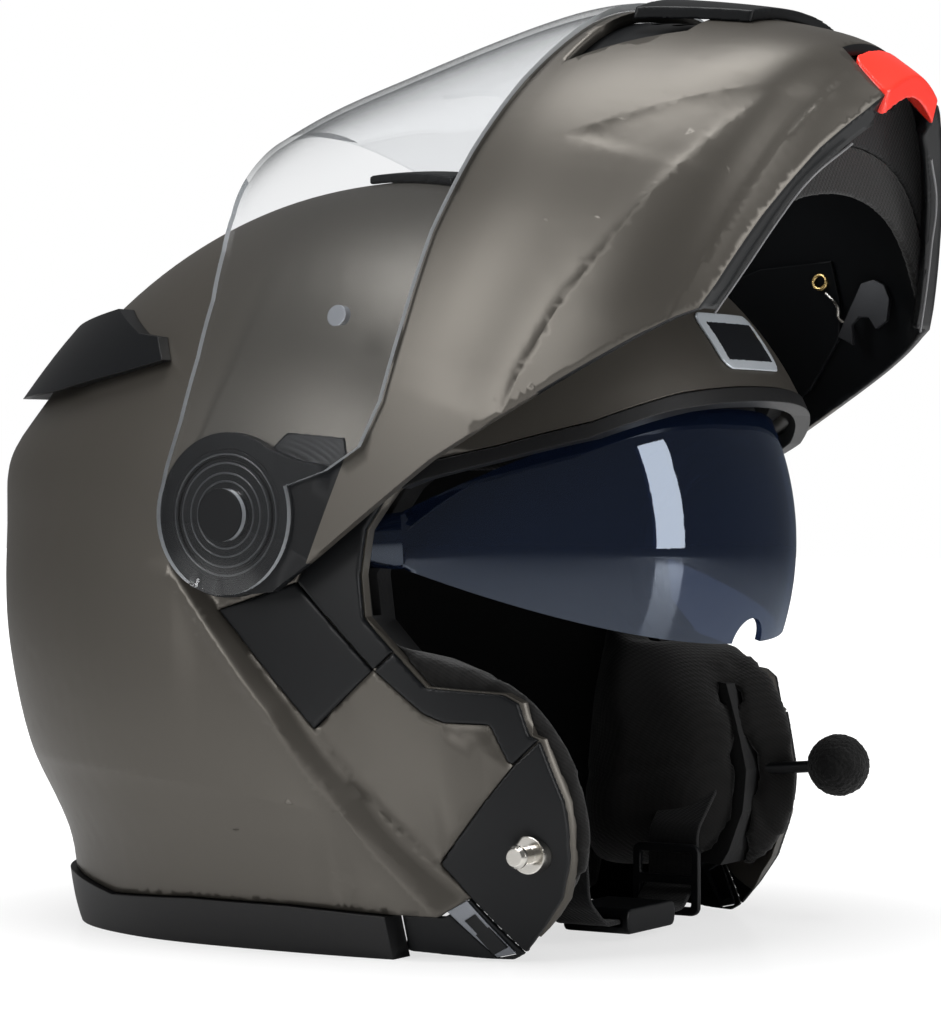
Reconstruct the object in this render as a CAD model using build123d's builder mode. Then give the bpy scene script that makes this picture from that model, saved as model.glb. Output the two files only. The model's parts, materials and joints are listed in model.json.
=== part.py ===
from build123d import *
import math
import os

os.makedirs("parts", exist_ok=True)

# Modular motorcycle helmet, standing on its lower edge, with its chin bar turned up
# It faces -Y, its left side is +X, and the floor is z = 0
# Side outlines are (forward, up) pairs measured from the ratchet axis

# Driving sizes of the whole helmet
axis_height = 150.0
axis_setback = 19.5
axis_to_pin = 100.0
half_width = 120.5
crown_rise = 121.5
brow_reach = 146.0
nape_reach = 157.0
form_centre = 5.0
face_half_width = 125.3
chin_reach = 200.0
open_angle = 75.0

# Walls, layers and clearances
shell_wall = 3.5
recess_depth = 6.0
pocket_depth = 8.2
plate_gap = 0.2
plate_wall = 2.2
seam = 0.6
layer_gap = 0.3
film_gap = 0.1
foam_wall = 28.0
face_wall = 4.0
visor_wall = 2.2
visor_gap = 0.6
overrun = 12.0

# Ratchets and their pivots
base_radius = 22.3
lobe_radius = 28.0
visor_lobe_radius = 27.2
bearing_gap = 0.08
bolt_radius = 4.0
seat_gap = 0.02

PLAN_POINTS = 20


def frame_at(turn):
    """Unit vectors forward and up in a frame turned up by an angle about the ratchet axis."""
    angle = math.radians(turn)
    forward = Vector(0, -math.cos(angle), math.sin(angle))
    up = Vector(0, math.sin(angle), math.cos(angle))
    return forward, up


def place(forward, rise, left=0.0, turn=0.0):
    """The point at a distance forward, up and left of the ratchet axis."""
    ahead, up = frame_at(turn)
    base = Vector(left, axis_setback, axis_height)
    return base + ahead * forward + up * rise


def side_plane(turn=0.0, left=0.0):
    """A plane across the helmet: x runs forward, y up, and its normal points right."""
    ahead, up = frame_at(turn)
    return Plane(origin=place(0, 0, left, turn), x_dir=ahead, z_dir=Vector(-1, 0, 0))


def plan_plane(rise, turn=0.0):
    """A level plane of the frame: x runs left, y forward, and its normal points down."""
    ahead, up = frame_at(turn)
    return Plane(origin=place(0, rise, 0, turn), x_dir=Vector(1, 0, 0), z_dir=up * -1)


def plan_curve(half, front, rear, centre, squareness):
    """An oval plan outline, squarer than an ellipse, as one smooth closed edge."""
    points = []
    power = 2.0 / squareness
    for step in range(PLAN_POINTS):
        angle = math.tau * (step + 0.5) / PLAN_POINTS
        across = math.copysign(abs(math.sin(angle)) ** power, math.sin(angle))
        along = math.copysign(abs(math.cos(angle)) ** power, math.cos(angle))
        reach = front if along > 0 else rear
        points.append((half * across, centre + reach * along))
    return Edge.make_spline(points, periodic=True, parameters=list(range(PLAN_POINTS + 1)))


# Lower sections of the shell: drop of the foot height, half width, front and rear reach, squareness
LOWER_SHARES = (
    (1.00, 0.815, 1.030, 0.815, 2.5),
    (0.90, 0.863, 1.068, 0.828, 2.5),
    (0.79, 0.905, 1.087, 0.836, 2.5),
    (0.72, 0.934, 1.096, 0.861, 2.5),
    (0.60, 0.968, 1.096, 0.926, 2.5),
    (0.43, 0.995, 1.078, 0.981, 2.5),
    (0.28, 1.000, 1.059, 1.011, 2.5),
    (0.10, 1.000, 1.030, 1.031, 2.4),
    (0.00, 1.000, 1.010, 1.043, 2.3),
)
# Upper sections: elevation in degrees, how far the rear lip swells, squareness
UPPER_SHARES = (
    (10.0, 1.056, 2.25),
    (17.0, 1.022, 2.20),
    (25.0, 0.990, 2.15),
    (35.0, 0.970, 2.10),
    (45.0, 0.960, 2.05),
    (55.0, 0.960, 2.00),
    (65.0, 0.965, 2.00),
    (74.0, 0.980, 2.00),
    (82.0, 0.990, 2.00),
)


def helmet_form(inset, turn=0.0, below=overrun):
    """The helmet's outer form drawn in by a distance, as one smooth solid."""
    sections = []
    rows = [(LOWER_SHARES[0][0] + below / axis_height, *LOWER_SHARES[0][1:])] if below else []
    for drop, width, front, rear, square in rows + list(LOWER_SHARES):
        with BuildSketch(plan_plane(-drop * axis_height, turn)) as level:
            with BuildLine():
                add(
                    plan_curve(
                        width * half_width - inset,
                        front * brow_reach - inset,
                        rear * nape_reach - inset,
                        form_centre,
                        square,
                    )
                )
            make_face()
        sections.append(level.sketch)
    for elevation, swell, square in UPPER_SHARES:
        angle = math.radians(elevation)
        with BuildSketch(plan_plane((crown_rise - inset) * math.sin(angle), turn)) as level:
            with BuildLine():
                add(
                    plan_curve(
                        (half_width - inset) * math.cos(angle),
                        (brow_reach - inset) * math.cos(angle),
                        (nape_reach * swell - inset) * math.cos(angle),
                        form_centre,
                        square,
                    )
                )
            make_face()
        sections.append(level.sketch)
    top = Vertex(*place(form_centre, crown_rise - inset, 0, turn))
    with BuildPart() as form:
        loft(sections=sections + [top])
    return form.part


# Sections of the chin bar and visor: rise in lengths axis to pin, half width, front reach, squareness
FACE_SHARES = (
    (-1.75, 0.860, 0.900, 1.5),
    (-1.62, 0.875, 0.945, 1.6),
    (-1.50, 0.888, 0.982, 1.7),
    (-1.40, 0.902, 1.000, 1.9),
    (-1.30, 0.925, 1.015, 2.2),
    (-1.20, 0.943, 1.020, 2.35),
    (-0.95, 0.975, 1.015, 2.4),
    (-0.70, 0.995, 1.000, 2.4),
    (-0.50, 1.000, 0.980, 2.35),
    (-0.30, 1.000, 0.937, 2.3),
    (0.00, 1.000, 0.847, 2.3),
    (0.20, 0.995, 0.786, 2.25),
    (0.40, 0.970, 0.725, 2.2),
    (0.60, 0.885, 0.665, 2.05),
    (0.80, 0.790, 0.600, 2.0),
    (1.00, 0.680, 0.530, 2.0),
)


def face_form(inset, turn=open_angle):
    """The outer form of chin bar and visor drawn in by a distance."""
    with BuildPart() as form:
        for rise, width, front, square in FACE_SHARES:
            with BuildSketch(plan_plane(rise * axis_to_pin, turn)):
                with BuildLine():
                    add(
                        plan_curve(
                            width * face_half_width - inset,
                            front * chin_reach - inset,
                            front * chin_reach - inset,
                            0,
                            square,
                        )
                    )
                make_face()
        loft()
    return form.part


def front_plane(reach, turn=0.0):
    """A plane facing forward at a reach: x runs left and y up."""
    ahead, up = frame_at(turn)
    return Plane(origin=place(reach, 0, 0, turn), x_dir=Vector(1, 0, 0), z_dir=ahead)


def scaled(shares):
    """Outline points in millimetres from shares of the distance axis to pin."""
    return [(x * axis_to_pin, y * axis_to_pin) for x, y in shares]


def side_prism(shares, side=0, turn=0.0, inset=0.0):
    """A prism across one side of the helmet, or both, from a side outline."""
    reach = half_width + overrun
    with BuildPart() as prism:
        with BuildSketch(side_plane(turn)) as face:
            with BuildLine():
                Polyline(scaled(shares), close=True)
            make_face()
            if inset:
                offset(amount=-inset, kind=Kind.INTERSECTION, mode=Mode.REPLACE)
        if side == 0:
            extrude(amount=reach, both=True)
        else:
            extrude(amount=-side * reach)
    return prism.part


# Side outlines, as shares of the distance from the axis to the lock pins
EYEPORT_SHARES = (
    (1.90, 0.50), (1.45, 0.46), (1.33, 0.415), (1.16, 0.315), (0.92, 0.235), (0.68, 0.175),
    (0.56, 0.08), (0.475, -0.05), (0.455, -0.20), (0.47, -0.34), (0.58, -0.455), (0.69, -0.57),
    (0.94, -0.59), (0.99, -0.62), (1.02, -0.727), (1.05, -0.74), (1.115, -0.95), (1.12, -1.03),
    (1.11, -1.15), (1.07, -1.28), (1.00, -1.38), (0.925, -1.47), (0.90, -1.70), (1.90, -1.70),
)
RECESS_TOP_SHARES = (
    (-0.40, -0.16), (0.22, -0.19), (0.285, -0.06), (0.655, 0.20), (0.715, 0.188), (0.74, 0.05),
    (1.90, 0.05), (1.90, -1.90), (-0.40, -1.90),
)
SIDE_PLATE_SHARES = ((-0.105, -0.325), (0.276, -0.725), (0.509, -0.519), (0.214, -0.226))
SIDE_FRAME_SHARES = (
    (0.214, -0.226), (0.296, -0.07), (0.645, 0.165), (0.72, 0.17), (0.56, 0.08), (0.475, -0.05),
    (0.455, -0.20), (0.47, -0.34), (0.58, -0.455), (0.509, -0.519),
)
FRONT_TRIM_SHARES = (
    (0.509, -0.519), (0.58, -0.455), (0.69, -0.57), (0.94, -0.59), (0.99, -0.62), (1.02, -0.727),
    (1.05, -0.74), (0.966, -0.827), (0.948, -0.814), (0.898, -0.695), (0.75, -0.69), (0.682, -0.662),
)
LATCH_PLATE_SHARES = (
    (0.966, -0.827), (1.05, -0.74), (1.115, -0.95), (1.12, -1.03), (1.11, -1.15), (1.07, -1.28),
    (1.00, -1.38), (0.925, -1.47), (0.775, -1.28), (0.69, -1.167),
)
CORNER_TRIM_SHARES = (
    (0.52, -1.345), (0.515, -1.48), (0.80, -1.495), (0.88, -1.495), (0.925, -1.47),
    (0.775, -1.28), (0.68, -1.345),
)
INLAY_SHARES = ((0.69, -1.33), (0.765, -1.29), (0.895, -1.47), (0.83, -1.485))
INLAY_SLOT_SHARES = ((0.745, -1.36), (0.785, -1.335), (0.865, -1.445), (0.825, -1.465))
SHELL_HEM_SHARES = (
    (-1.90, -1.27), (-1.00, -1.30), (-0.70, -1.35), (-0.30, -1.33), (0.12, -1.33), (0.50, -1.345),
    (0.68, -1.345), (0.76, -1.44), (0.925, -1.47), (1.90, -1.47), (1.90, -1.90), (-1.90, -1.90),
)
TRIM_SHARES = (
    (-1.90, -1.275), (-1.00, -1.305), (-0.70, -1.355), (-0.30, -1.335), (0.12, -1.335),
    (0.505, -1.35), (0.505, -1.50), (-1.90, -1.50),
)
# Slanted band: along the crease, then rear edge height and width, then front edge height and width
BAND_SHARES = (
    (-0.10, -0.335, 1.209, -0.298, 1.155),
    (0.30, -0.340, 1.207, -0.288, 1.148),
    (0.60, -0.344, 1.202, -0.280, 1.135),
    (1.00, -0.362, 1.138, -0.270, 1.080),
    (1.45, -0.366, 1.000, -0.263, 0.940),
    (1.80, -0.368, 0.870, -0.258, 0.820),
)
BAND_SLOPE = 48.7
BAND_INNER_SHARE = 0.60
BAND_OUTER_SHARE = 1.50
BAND_FRONT_SHARE = 2.20
LOBE_NECK_SHARES = (
    (-0.275, 0.05), (-0.27, -0.06), (-0.20, -0.25), (-0.054, -0.372), (0.383, -0.722), (0.655, -0.99),
    (0.873, -1.206), (1.03, -1.355), (1.07, -1.40), (1.15, -1.415), (1.40, -1.445), (1.65, -1.485),
    (1.80, -1.52), (2.15, -1.60), (2.15, -0.535), (1.95, -0.53), (1.83, -0.52), (1.64, -0.49), (1.38, -0.468),
    (1.10, -0.458), (0.80, -0.478), (0.525, -0.486), (0.36, -0.455), (0.265, -0.36), (0.25, -0.22),
    (0.275, 0.05),
)
VISOR_SHARES = (
    (-0.268, 0.05), (-0.15, 0.226), (0.0, 0.27), (0.09, 0.272), (0.264, 0.262), (0.48, 0.27), (0.68, 0.30),
    (0.84, 0.36), (0.965, 0.43), (1.15, 0.60), (1.25, 0.735), (1.60, 0.80), (2.30, 0.80), (2.30, -0.545),
    (1.95, -0.545), (1.83, -0.53), (1.64, -0.50), (1.38, -0.478), (1.10, -0.468), (0.80, -0.488),
    (0.525, -0.496), (0.36, -0.465), (0.25, -0.36), (0.16, -0.22), (-0.10, -0.25), (-0.268, -0.05),
)


def band_wedge(side, grow=0.0):
    """The space forward of the slanted band on one side, open to the front."""
    slope = math.radians(BAND_SLOPE)
    along = Vector(0, -math.cos(slope), -math.sin(slope))
    across = Vector(0, -math.sin(slope), math.cos(slope))
    with BuildPart() as wedge:
        for step, rear, rear_width, front, front_width in BAND_SHARES:
            origin = place(0, 0) + along * (step * axis_to_pin)
            plane = Plane(origin=origin, x_dir=across, z_dir=along)
            lean = (front - rear) / (rear_width - front_width)
            low = rear + lean * (rear_width - BAND_OUTER_SHARE)
            high = rear + lean * (rear_width - BAND_INNER_SHARE)
            near, far = (share * axis_to_pin for share in (BAND_INNER_SHARE, BAND_OUTER_SHARE))
            ahead = BAND_FRONT_SHARE * axis_to_pin
            sign = side * math.copysign(1, plane.y_dir.X)
            corners = (
                (low * axis_to_pin - grow, sign * far),
                (high * axis_to_pin - grow, sign * near),
                (ahead, sign * near),
                (ahead, sign * far),
            )
            with BuildSketch(plane):
                with BuildLine():
                    Polyline(corners, close=True)
                make_face()
        loft(ruled=True)
    return wedge.part


def recessed_form(inset, depth):
    """The helmet form with its sides let in forward of the slanted bands."""
    body = helmet_form(inset)
    floor = helmet_form(inset + depth)
    for side in (-1, 1):
        space = band_wedge(side, inset) & side_prism(RECESS_TOP_SHARES, side, inset=-inset)
        body = body - (space - floor)
    return body


def chin_layer(outer, inner, shares):
    """A curved layer of the chin bar between two insets, cut to a side outline."""
    return (face_form(outer) - face_form(inner)) & side_prism(shares, turn=open_angle)


def save(part, name):
    """Label a finished piece and write it."""
    part.label = name
    export_step(part, "parts/" + name + ".step")


SIDES = (("right", -1), ("left", 1))

# Outer shell
lock_pin_radius = 3.0
lock_pin_shares = (1.0, -1.125)
lever_slot_length = 30.0
lever_slot_width = 4.0
lever_shares = (0.02, -1.20)
PLATES = (
    ("side_plate", SIDE_PLATE_SHARES),
    ("eyeport_frame", SIDE_FRAME_SHARES),
    ("front_trim", FRONT_TRIM_SHARES),
    ("latch_plate", LATCH_PLATE_SHARES),
    ("corner_trim", CORNER_TRIM_SHARES),
)

pocket_floor = helmet_form(pocket_depth)
inner_form = recessed_form(shell_wall, pocket_depth + layer_gap)
eyeport = side_prism(EYEPORT_SHARES)

with BuildPart() as outer_shell:
    add(recessed_form(0, recess_depth))
    for name, side in SIDES:
        for title, shares in PLATES:
            add(side_prism(shares, side) - pocket_floor, mode=Mode.SUBTRACT)
    add(inner_form, mode=Mode.SUBTRACT)
    add(eyeport, mode=Mode.SUBTRACT)
    add(side_prism(SHELL_HEM_SHARES), mode=Mode.SUBTRACT)
    with Locations(Location(side_plane())):
        Cylinder(bolt_radius, 4 * half_width, mode=Mode.SUBTRACT)
    with BuildSketch(side_plane()) as lock_holes:
        with Locations(tuple(v * axis_to_pin for v in lock_pin_shares)):
            Circle(lock_pin_radius)
    extrude(amount=2 * half_width, both=True, mode=Mode.SUBTRACT)
    with BuildSketch(side_plane()) as lever_slot:
        with Locations(tuple(v * axis_to_pin for v in lever_shares)):
            SlotOverall(lever_slot_length, lever_slot_width)
    extrude(amount=-2 * half_width, mode=Mode.SUBTRACT)
save(outer_shell.part, "outer_shell")

# Side panels, seated in the pockets of the shell
plate_face = pocket_depth - plate_gap - plate_wall
plate_skin = helmet_form(plate_face) - helmet_form(pocket_depth - plate_gap)
for name, side in SIDES:
    for title, shares in PLATES:
        with BuildPart() as plate:
            add(plate_skin)
            add(side_prism(shares, side, inset=seam / 2), mode=Mode.INTERSECT)
            if title == "latch_plate":
                with BuildSketch(side_plane()):
                    with Locations(tuple(v * axis_to_pin for v in lock_pin_shares)):
                        Circle(lock_pin_radius)
                extrude(amount=2 * half_width, both=True, mode=Mode.SUBTRACT)
            if title == "corner_trim":
                add(side_prism(INLAY_SHARES, side, inset=-plate_gap), mode=Mode.SUBTRACT)
        save(plate.part, title + "_" + name)


def turned(profile, seat, outward, up=Vector(0, 0, 1)):
    """A solid of revolution about a line through seat, from (radius, distance outward) points."""
    side_normal = up.cross(outward)
    with BuildPart() as solid:
        with BuildSketch(Plane(origin=seat, x_dir=up, z_dir=side_normal)):
            with BuildLine():
                Polyline(profile, close=True)
            make_face()
        revolve(axis=Axis(seat, outward))
    return solid.part


# Lock pins standing out of the latch plates, each with a flange and a head
lock_pin_reach = 91.4
lock_pin_tail = 6.0
lock_pin_neck = 9.0
lock_pin_head = 2.6
lock_pin_head_radius = 3.9
lock_flange_radius = 6.3
lock_flange = 2.8
lock_flange_root = 5.0
lock_pin_shaft = lock_pin_radius - bearing_gap
lock_profile = (
    (0, -lock_pin_tail),
    (lock_pin_shaft, -lock_pin_tail),
    (lock_pin_shaft, -lock_flange_root),
    (lock_flange_radius, -lock_flange_root),
    (lock_flange_radius, lock_flange),
    (lock_pin_shaft, lock_flange),
    (lock_pin_shaft, lock_pin_neck),
    (lock_pin_head_radius, lock_pin_neck),
    (lock_pin_head_radius, lock_pin_neck + lock_pin_head / 2),
    (lock_pin_shaft, lock_pin_neck + lock_pin_head),
    (0, lock_pin_neck + lock_pin_head),
)
lock_forward, lock_rise = (v * axis_to_pin for v in lock_pin_shares)
with BuildPart() as lock_pins:
    for name, side in SIDES:
        seat = place(lock_forward, lock_rise, side * lock_pin_reach)
        add(turned(lock_profile, seat, Vector(side, 0, 0)))
    add(helmet_form(plate_face - film_gap), mode=Mode.SUBTRACT)
    for name, side in SIDES:
        seat = place(lock_forward, lock_rise, side * (lock_pin_reach - lock_pin_tail))
        with BuildSketch(Plane(origin=seat, z_dir=Vector(side, 0, 0))):
            Circle(lock_pin_shaft)
        extrude(amount=lock_pin_tail + lock_pin_neck)
save(lock_pins.part, "lock_pins")

# Metal inlays at the lower front corners, each with a slot
with BuildPart() as corner_inlays:
    for name, side in SIDES:
        add(plate_skin & side_prism(INLAY_SHARES, side))
        add(side_prism(INLAY_SLOT_SHARES, side), mode=Mode.SUBTRACT)
save(corner_inlays.part, "corner_inlays")

# Rubber hem round the lower edge, which the helmet stands on
hem_bulge = 2.2
hem_inset = 8.5
with BuildPart() as bottom_trim:
    add((helmet_form(-hem_bulge) - helmet_form(hem_inset)) & side_prism(TRIM_SHARES))
save(bottom_trim.part, "bottom_trim")

# Foam liner with the head cavity and the slot for the sun visor
sun_axis_shares = (0.30, -0.10)
sun_axis = tuple(share * axis_to_pin for share in sun_axis_shares)
sun_radius = 110.0
sun_half_width = 100.0
sun_wall = 2.2
sun_squareness = 2.3
sun_low_angle = -18.5
sun_high_angle = 25.0
sun_travel = 44.0
sun_slot_gap = 1.6
sun_slot_margin = 4.0
sun_side_angle = 82.0
sun_ear_reach = 26.0
sun_ear_radius = 8.0
sun_pin_radius = 2.5
sun_pin_length = 4.0
SUN_POINTS = 14


def sun_profile(radius, half):
    """Half-outline of the sun visor from its centre line out to the pivot, as (across, radius) points."""
    points = []
    for step in range(SUN_POINTS + 1):
        angle = math.radians(sun_side_angle) * step / SUN_POINTS
        across = half * math.sin(angle) ** (2 / sun_squareness)
        points.append((across, radius * math.cos(angle) ** (2 / sun_squareness)))
    return points


def sun_sector(outer, inner, low, high):
    """The space swept by the sun visor's section between two angles about its pivot."""
    plane = Plane(
        origin=place(*sun_axis), x_dir=Vector(1, 0, 0), z_dir=frame_at(low)[1] * -1
    )
    with BuildPart() as sector:
        with BuildSketch(plane):
            with BuildLine():
                far = sun_profile(sun_radius + outer, sun_half_width + outer)
                near = sun_profile(sun_radius - inner, sun_half_width - inner)
                right = Spline([(-x, y) for x, y in reversed(far[1:])] + far)
                left = Spline([(-x, y) for x, y in reversed(near[1:])] + near)
                Line(right @ 0, left @ 0)
                Line(right @ 1, left @ 1)
            make_face()
        revolve(axis=Axis(place(*sun_axis), Vector(-1, 0, 0)), revolution_arc=high - low)
    return sector.part


sun_ear_inner, sun_ear_root = sun_profile(sun_radius - sun_wall, sun_half_width - sun_wall)[-1]
liner_inset = shell_wall + layer_gap
cavity_inset = liner_inset + foam_wall
LINER_HEM_SHARES = (
    (-1.90, -1.20), (-0.70, -1.24), (0.60, -1.24), (0.80, -1.30), (1.90, -1.30), (1.90, -1.90),
    (-1.90, -1.90),
)
LINER_FRONT_SHARES = (
    (1.90, 0.55), (1.45, 0.51), (1.32, 0.45), (1.12, 0.36), (0.66, 0.21), (0.53, 0.09), (0.445, -0.05),
    (0.42, -0.20), (0.44, -0.355), (0.57, -0.50), (0.68, -0.61), (0.90, -0.64), (0.96, -0.78), (1.03, -0.95),
    (1.03, -1.10), (0.98, -1.25), (0.88, -1.40), (0.88, -1.90), (1.90, -1.90),
)
sun_slot_low = sun_low_angle - sun_slot_margin
sun_slot_high = sun_high_angle + sun_travel + sun_slot_margin
with BuildPart() as eps_liner:
    add(recessed_form(liner_inset, pocket_depth + layer_gap))
    add(helmet_form(cavity_inset), mode=Mode.SUBTRACT)
    add(side_prism(LINER_FRONT_SHARES), mode=Mode.SUBTRACT)
    add(side_prism(LINER_HEM_SHARES), mode=Mode.SUBTRACT)
    add(sun_sector(sun_slot_gap, sun_wall + sun_slot_gap, sun_slot_low, sun_slot_high), mode=Mode.SUBTRACT)
    for name, side in SIDES:
        with BuildSketch(side_plane(0, side * (sun_ear_inner - sun_slot_gap))):
            with Locations(sun_axis):
                Circle(sun_ear_reach + sun_slot_gap)
        extrude(amount=-side * (sun_wall + 2 * sun_slot_gap), mode=Mode.SUBTRACT)
        with BuildSketch(side_plane(0, side * sun_ear_inner)):
            with Locations(sun_axis):
                Circle(sun_pin_radius + bearing_gap)
        extrude(amount=-side * (sun_wall + sun_pin_length + layer_gap), mode=Mode.SUBTRACT)
save(eps_liner.part, "eps_liner")

# Sun visor, lowered, with its notched lower edge and its two pivots
notch_half = 11.0
notch_rise = 9.0
with BuildPart() as sun_visor:
    add(sun_sector(0, sun_wall, sun_low_angle, sun_high_angle))
    low_forward, low_up = frame_at(sun_low_angle)
    notch_centre = place(*sun_axis) + low_forward * sun_radius
    with BuildSketch(Plane(origin=notch_centre, x_dir=Vector(1, 0, 0), z_dir=low_forward)):
        Ellipse(notch_half, notch_rise)
    extrude(amount=overrun, both=True, mode=Mode.SUBTRACT)
    ear_turns = [math.radians(a) for a in (sun_low_angle, sun_high_angle)]
    lows, highs = ((math.cos(a), math.sin(a)) for a in ear_turns)
    sun_forward, sun_rise = sun_axis
    ear_points = (
        (sun_forward + lows[1] * sun_ear_radius, sun_rise - lows[0] * sun_ear_radius),
        (sun_forward + lows[0] * sun_ear_reach, sun_rise + lows[1] * sun_ear_reach),
        (sun_forward + highs[0] * sun_ear_reach, sun_rise + highs[1] * sun_ear_reach),
        (sun_forward - highs[1] * sun_ear_radius, sun_rise + highs[0] * sun_ear_radius),
    )
    for name, side in SIDES:
        with BuildSketch(side_plane(0, side * sun_ear_inner)):
            with BuildLine():
                Polyline(ear_points, close=True)
            make_face()
            with Locations(sun_axis):
                Circle(sun_ear_radius)
        extrude(amount=-side * sun_wall)
        with BuildSketch(side_plane(0, side * sun_ear_inner)):
            with Locations(sun_axis):
                Circle(sun_pin_radius)
        extrude(amount=-side * (sun_wall + sun_pin_length))
save(sun_visor.part, "sun_visor")


# Rubber edging along the brow
BROW_SHARES = (
    (0.655, 0.155), (0.68, 0.168), (0.92, 0.228), (1.16, 0.308), (1.33, 0.408), (1.45, 0.453),
    (1.45, 0.395), (1.33, 0.35), (1.16, 0.255), (0.92, 0.18), (0.70, 0.118), (0.635, 0.09),
)
brow_proud = 0.8
brow_depth = 5.0
with BuildPart() as brow_trim:
    add((helmet_form(-brow_proud) - helmet_form(brow_depth)) & side_prism(BROW_SHARES))
save(brow_trim.part, "brow_trim")

# Rear spoiler vent, open to the rear
spoiler_rise = 4.0
spoiler_shift = 6.0
spoiler_skin = 2.4
SPOILER_SHARES = (
    (-0.37, 0.535), (-0.43, 0.62), (-0.54, 0.635), (-0.75, 0.735), (-1.10, 0.69), (-1.45, 0.58),
    (-1.53, 0.54), (-1.53, 0.43), (-1.30, 0.42), (-0.93, 0.44), (-0.55, 0.50),
)
SPOILER_MOUTH_SHARES = (
    (-1.90, 0.30), (-1.90, 0.47), (-1.40, 0.51), (-1.05, 0.57), (-0.85, 0.56), (-0.80, 0.49),
    (-1.00, 0.36),
)
with BuildPart() as rear_vent:
    add(helmet_form(-spoiler_rise).moved(Location((0, spoiler_shift, 0))))
    add(helmet_form(-layer_gap), mode=Mode.SUBTRACT)
    add(side_prism(SPOILER_SHARES), mode=Mode.INTERSECT)
    mouth = helmet_form(spoiler_skin - spoiler_rise).moved(Location((0, spoiler_shift, 0)))
    add(mouth & side_prism(SPOILER_MOUTH_SHARES), mode=Mode.SUBTRACT)
save(rear_vent.part, "rear_vent")

# Crown vent slider on the dome
crown_vent_half = 26.0
crown_vent_rise = 3.5
crown_vent_rear_half = 21.0
crown_vent_front = 30.0
crown_vent_rear = -8.0
with BuildPart() as crown_vent:
    add(helmet_form(-crown_vent_rise) - helmet_form(-layer_gap))
    with BuildSketch(plan_plane(0)):
        with BuildLine():
            Polyline(
                (-crown_vent_half, crown_vent_front),
                (crown_vent_half, crown_vent_front),
                (crown_vent_rear_half, crown_vent_rear),
                (-crown_vent_rear_half, crown_vent_rear),
                close=True,
            )
        make_face()
    extrude(amount=-2 * crown_rise, mode=Mode.INTERSECT)
save(crown_vent.part, "crown_vent")

# Plain badge on the forehead
badge_half = 21.0
badge_height = 20.0
badge_rise = 0.9
badge_rise_share = 0.60
with BuildPart() as badge:
    add(helmet_form(-badge_rise) - helmet_form(-film_gap))
    with BuildSketch(front_plane(0)):
        with Locations((0, badge_rise_share * axis_to_pin)):
            RectangleRounded(2 * badge_half, badge_height, badge_height / 4)
    extrude(amount=2 * brow_reach, mode=Mode.INTERSECT)
save(badge.part, "badge")

# Ratchet bases with rings, the bolts that hold them, and the caps the visor turns on
base_sunk = 0.5
base_face = face_half_width - base_sunk
ring_radii_shares = (0.50, 0.68, 0.86)
ring_width = 1.0
ring_depth = 0.8
bolt_hole_gap = 0.3
cap_radius = 9.0
cap_proud = 0.3
cap_face = face_half_width + visor_gap + visor_wall + cap_proud
bolt_end = half_width - shell_wall
for name, side in SIDES:
    outward = Plane(origin=place(0, 0, 0), x_dir=Vector(0, -1, 0), z_dir=Vector(side, 0, 0))
    with BuildPart() as ratchet_base:
        with BuildSketch(outward):
            Circle(base_radius)
        extrude(amount=base_face)
        add(helmet_form(-plate_gap), mode=Mode.SUBTRACT)
        with BuildSketch(outward.offset(base_face - ring_depth)):
            for share in ring_radii_shares:
                Circle(share * base_radius + ring_width / 2)
                Circle(share * base_radius - ring_width / 2, mode=Mode.SUBTRACT)
        extrude(amount=ring_depth, mode=Mode.SUBTRACT)
        with BuildSketch(outward):
            Circle(bolt_radius)
        extrude(amount=base_face, mode=Mode.SUBTRACT)
    save(ratchet_base.part, "ratchet_base_" + name)
with BuildPart() as pivot_caps:
    for name, side in SIDES:
        outward = Plane(origin=place(0, 0, 0), x_dir=Vector(0, -1, 0), z_dir=Vector(side, 0, 0))
        with BuildSketch(outward.offset(base_face + seat_gap)):
            Circle(cap_radius)
        extrude(amount=cap_face - base_face - seat_gap)
        with BuildSketch(outward.offset(bolt_end)):
            Circle(bolt_radius - bolt_hole_gap)
        extrude(amount=base_face + seat_gap - bolt_end)
save(pivot_caps.part, "pivot_caps")

# Chin bar: shell with a turned-in lower rim, and bores that run on the ratchet bases
rim_outer = 1.0
rim_inner = 12.0
RIM_SHARES = (
    (1.07, -1.40), (1.15, -1.415), (1.40, -1.445), (1.65, -1.485), (1.80, -1.52), (2.15, -1.60),
    (2.15, -1.56), (1.80, -1.48), (1.65, -1.445), (1.40, -1.405), (1.15, -1.375), (1.07, -1.36),
)
button_half = 22.0
button_low_share = -1.54
notch_rear = 176.0
notch_front = 216.0
notch_height = 20.0
VENT_RECESS_SHARES = ((-0.72, -0.585), (0.72, -0.585), (0.50, -0.90), (-0.50, -0.90))
with BuildPart() as chin_bar_shell:
    add(chin_layer(0, face_wall, LOBE_NECK_SHARES))
    for name, side in SIDES:
        with BuildSketch(side_plane(open_angle)):
            Circle(lobe_radius)
        extrude(amount=-side * 2 * face_half_width)
    add(face_form(0), mode=Mode.INTERSECT)
    add(face_form(face_wall), mode=Mode.SUBTRACT)
    add(chin_layer(rim_outer, rim_inner, RIM_SHARES))
    with BuildSketch(side_plane()):
        Circle(base_radius + bearing_gap)
    extrude(amount=2 * face_half_width, both=True, mode=Mode.SUBTRACT)
    with BuildSketch(front_plane(0, open_angle)):
        with BuildLine():
            Polyline(scaled(VENT_RECESS_SHARES), close=True)
        make_face()
    extrude(amount=2 * chin_reach, mode=Mode.SUBTRACT)
    with BuildSketch(plan_plane(button_low_share * axis_to_pin - overrun, open_angle)):
        with Locations((0, (notch_front + notch_rear) / 2)):
            Rectangle(2 * (button_half + layer_gap), notch_front - notch_rear)
    extrude(amount=-notch_height - overrun, mode=Mode.SUBTRACT)
save(chin_bar_shell.part, "chin_bar_shell")

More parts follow.
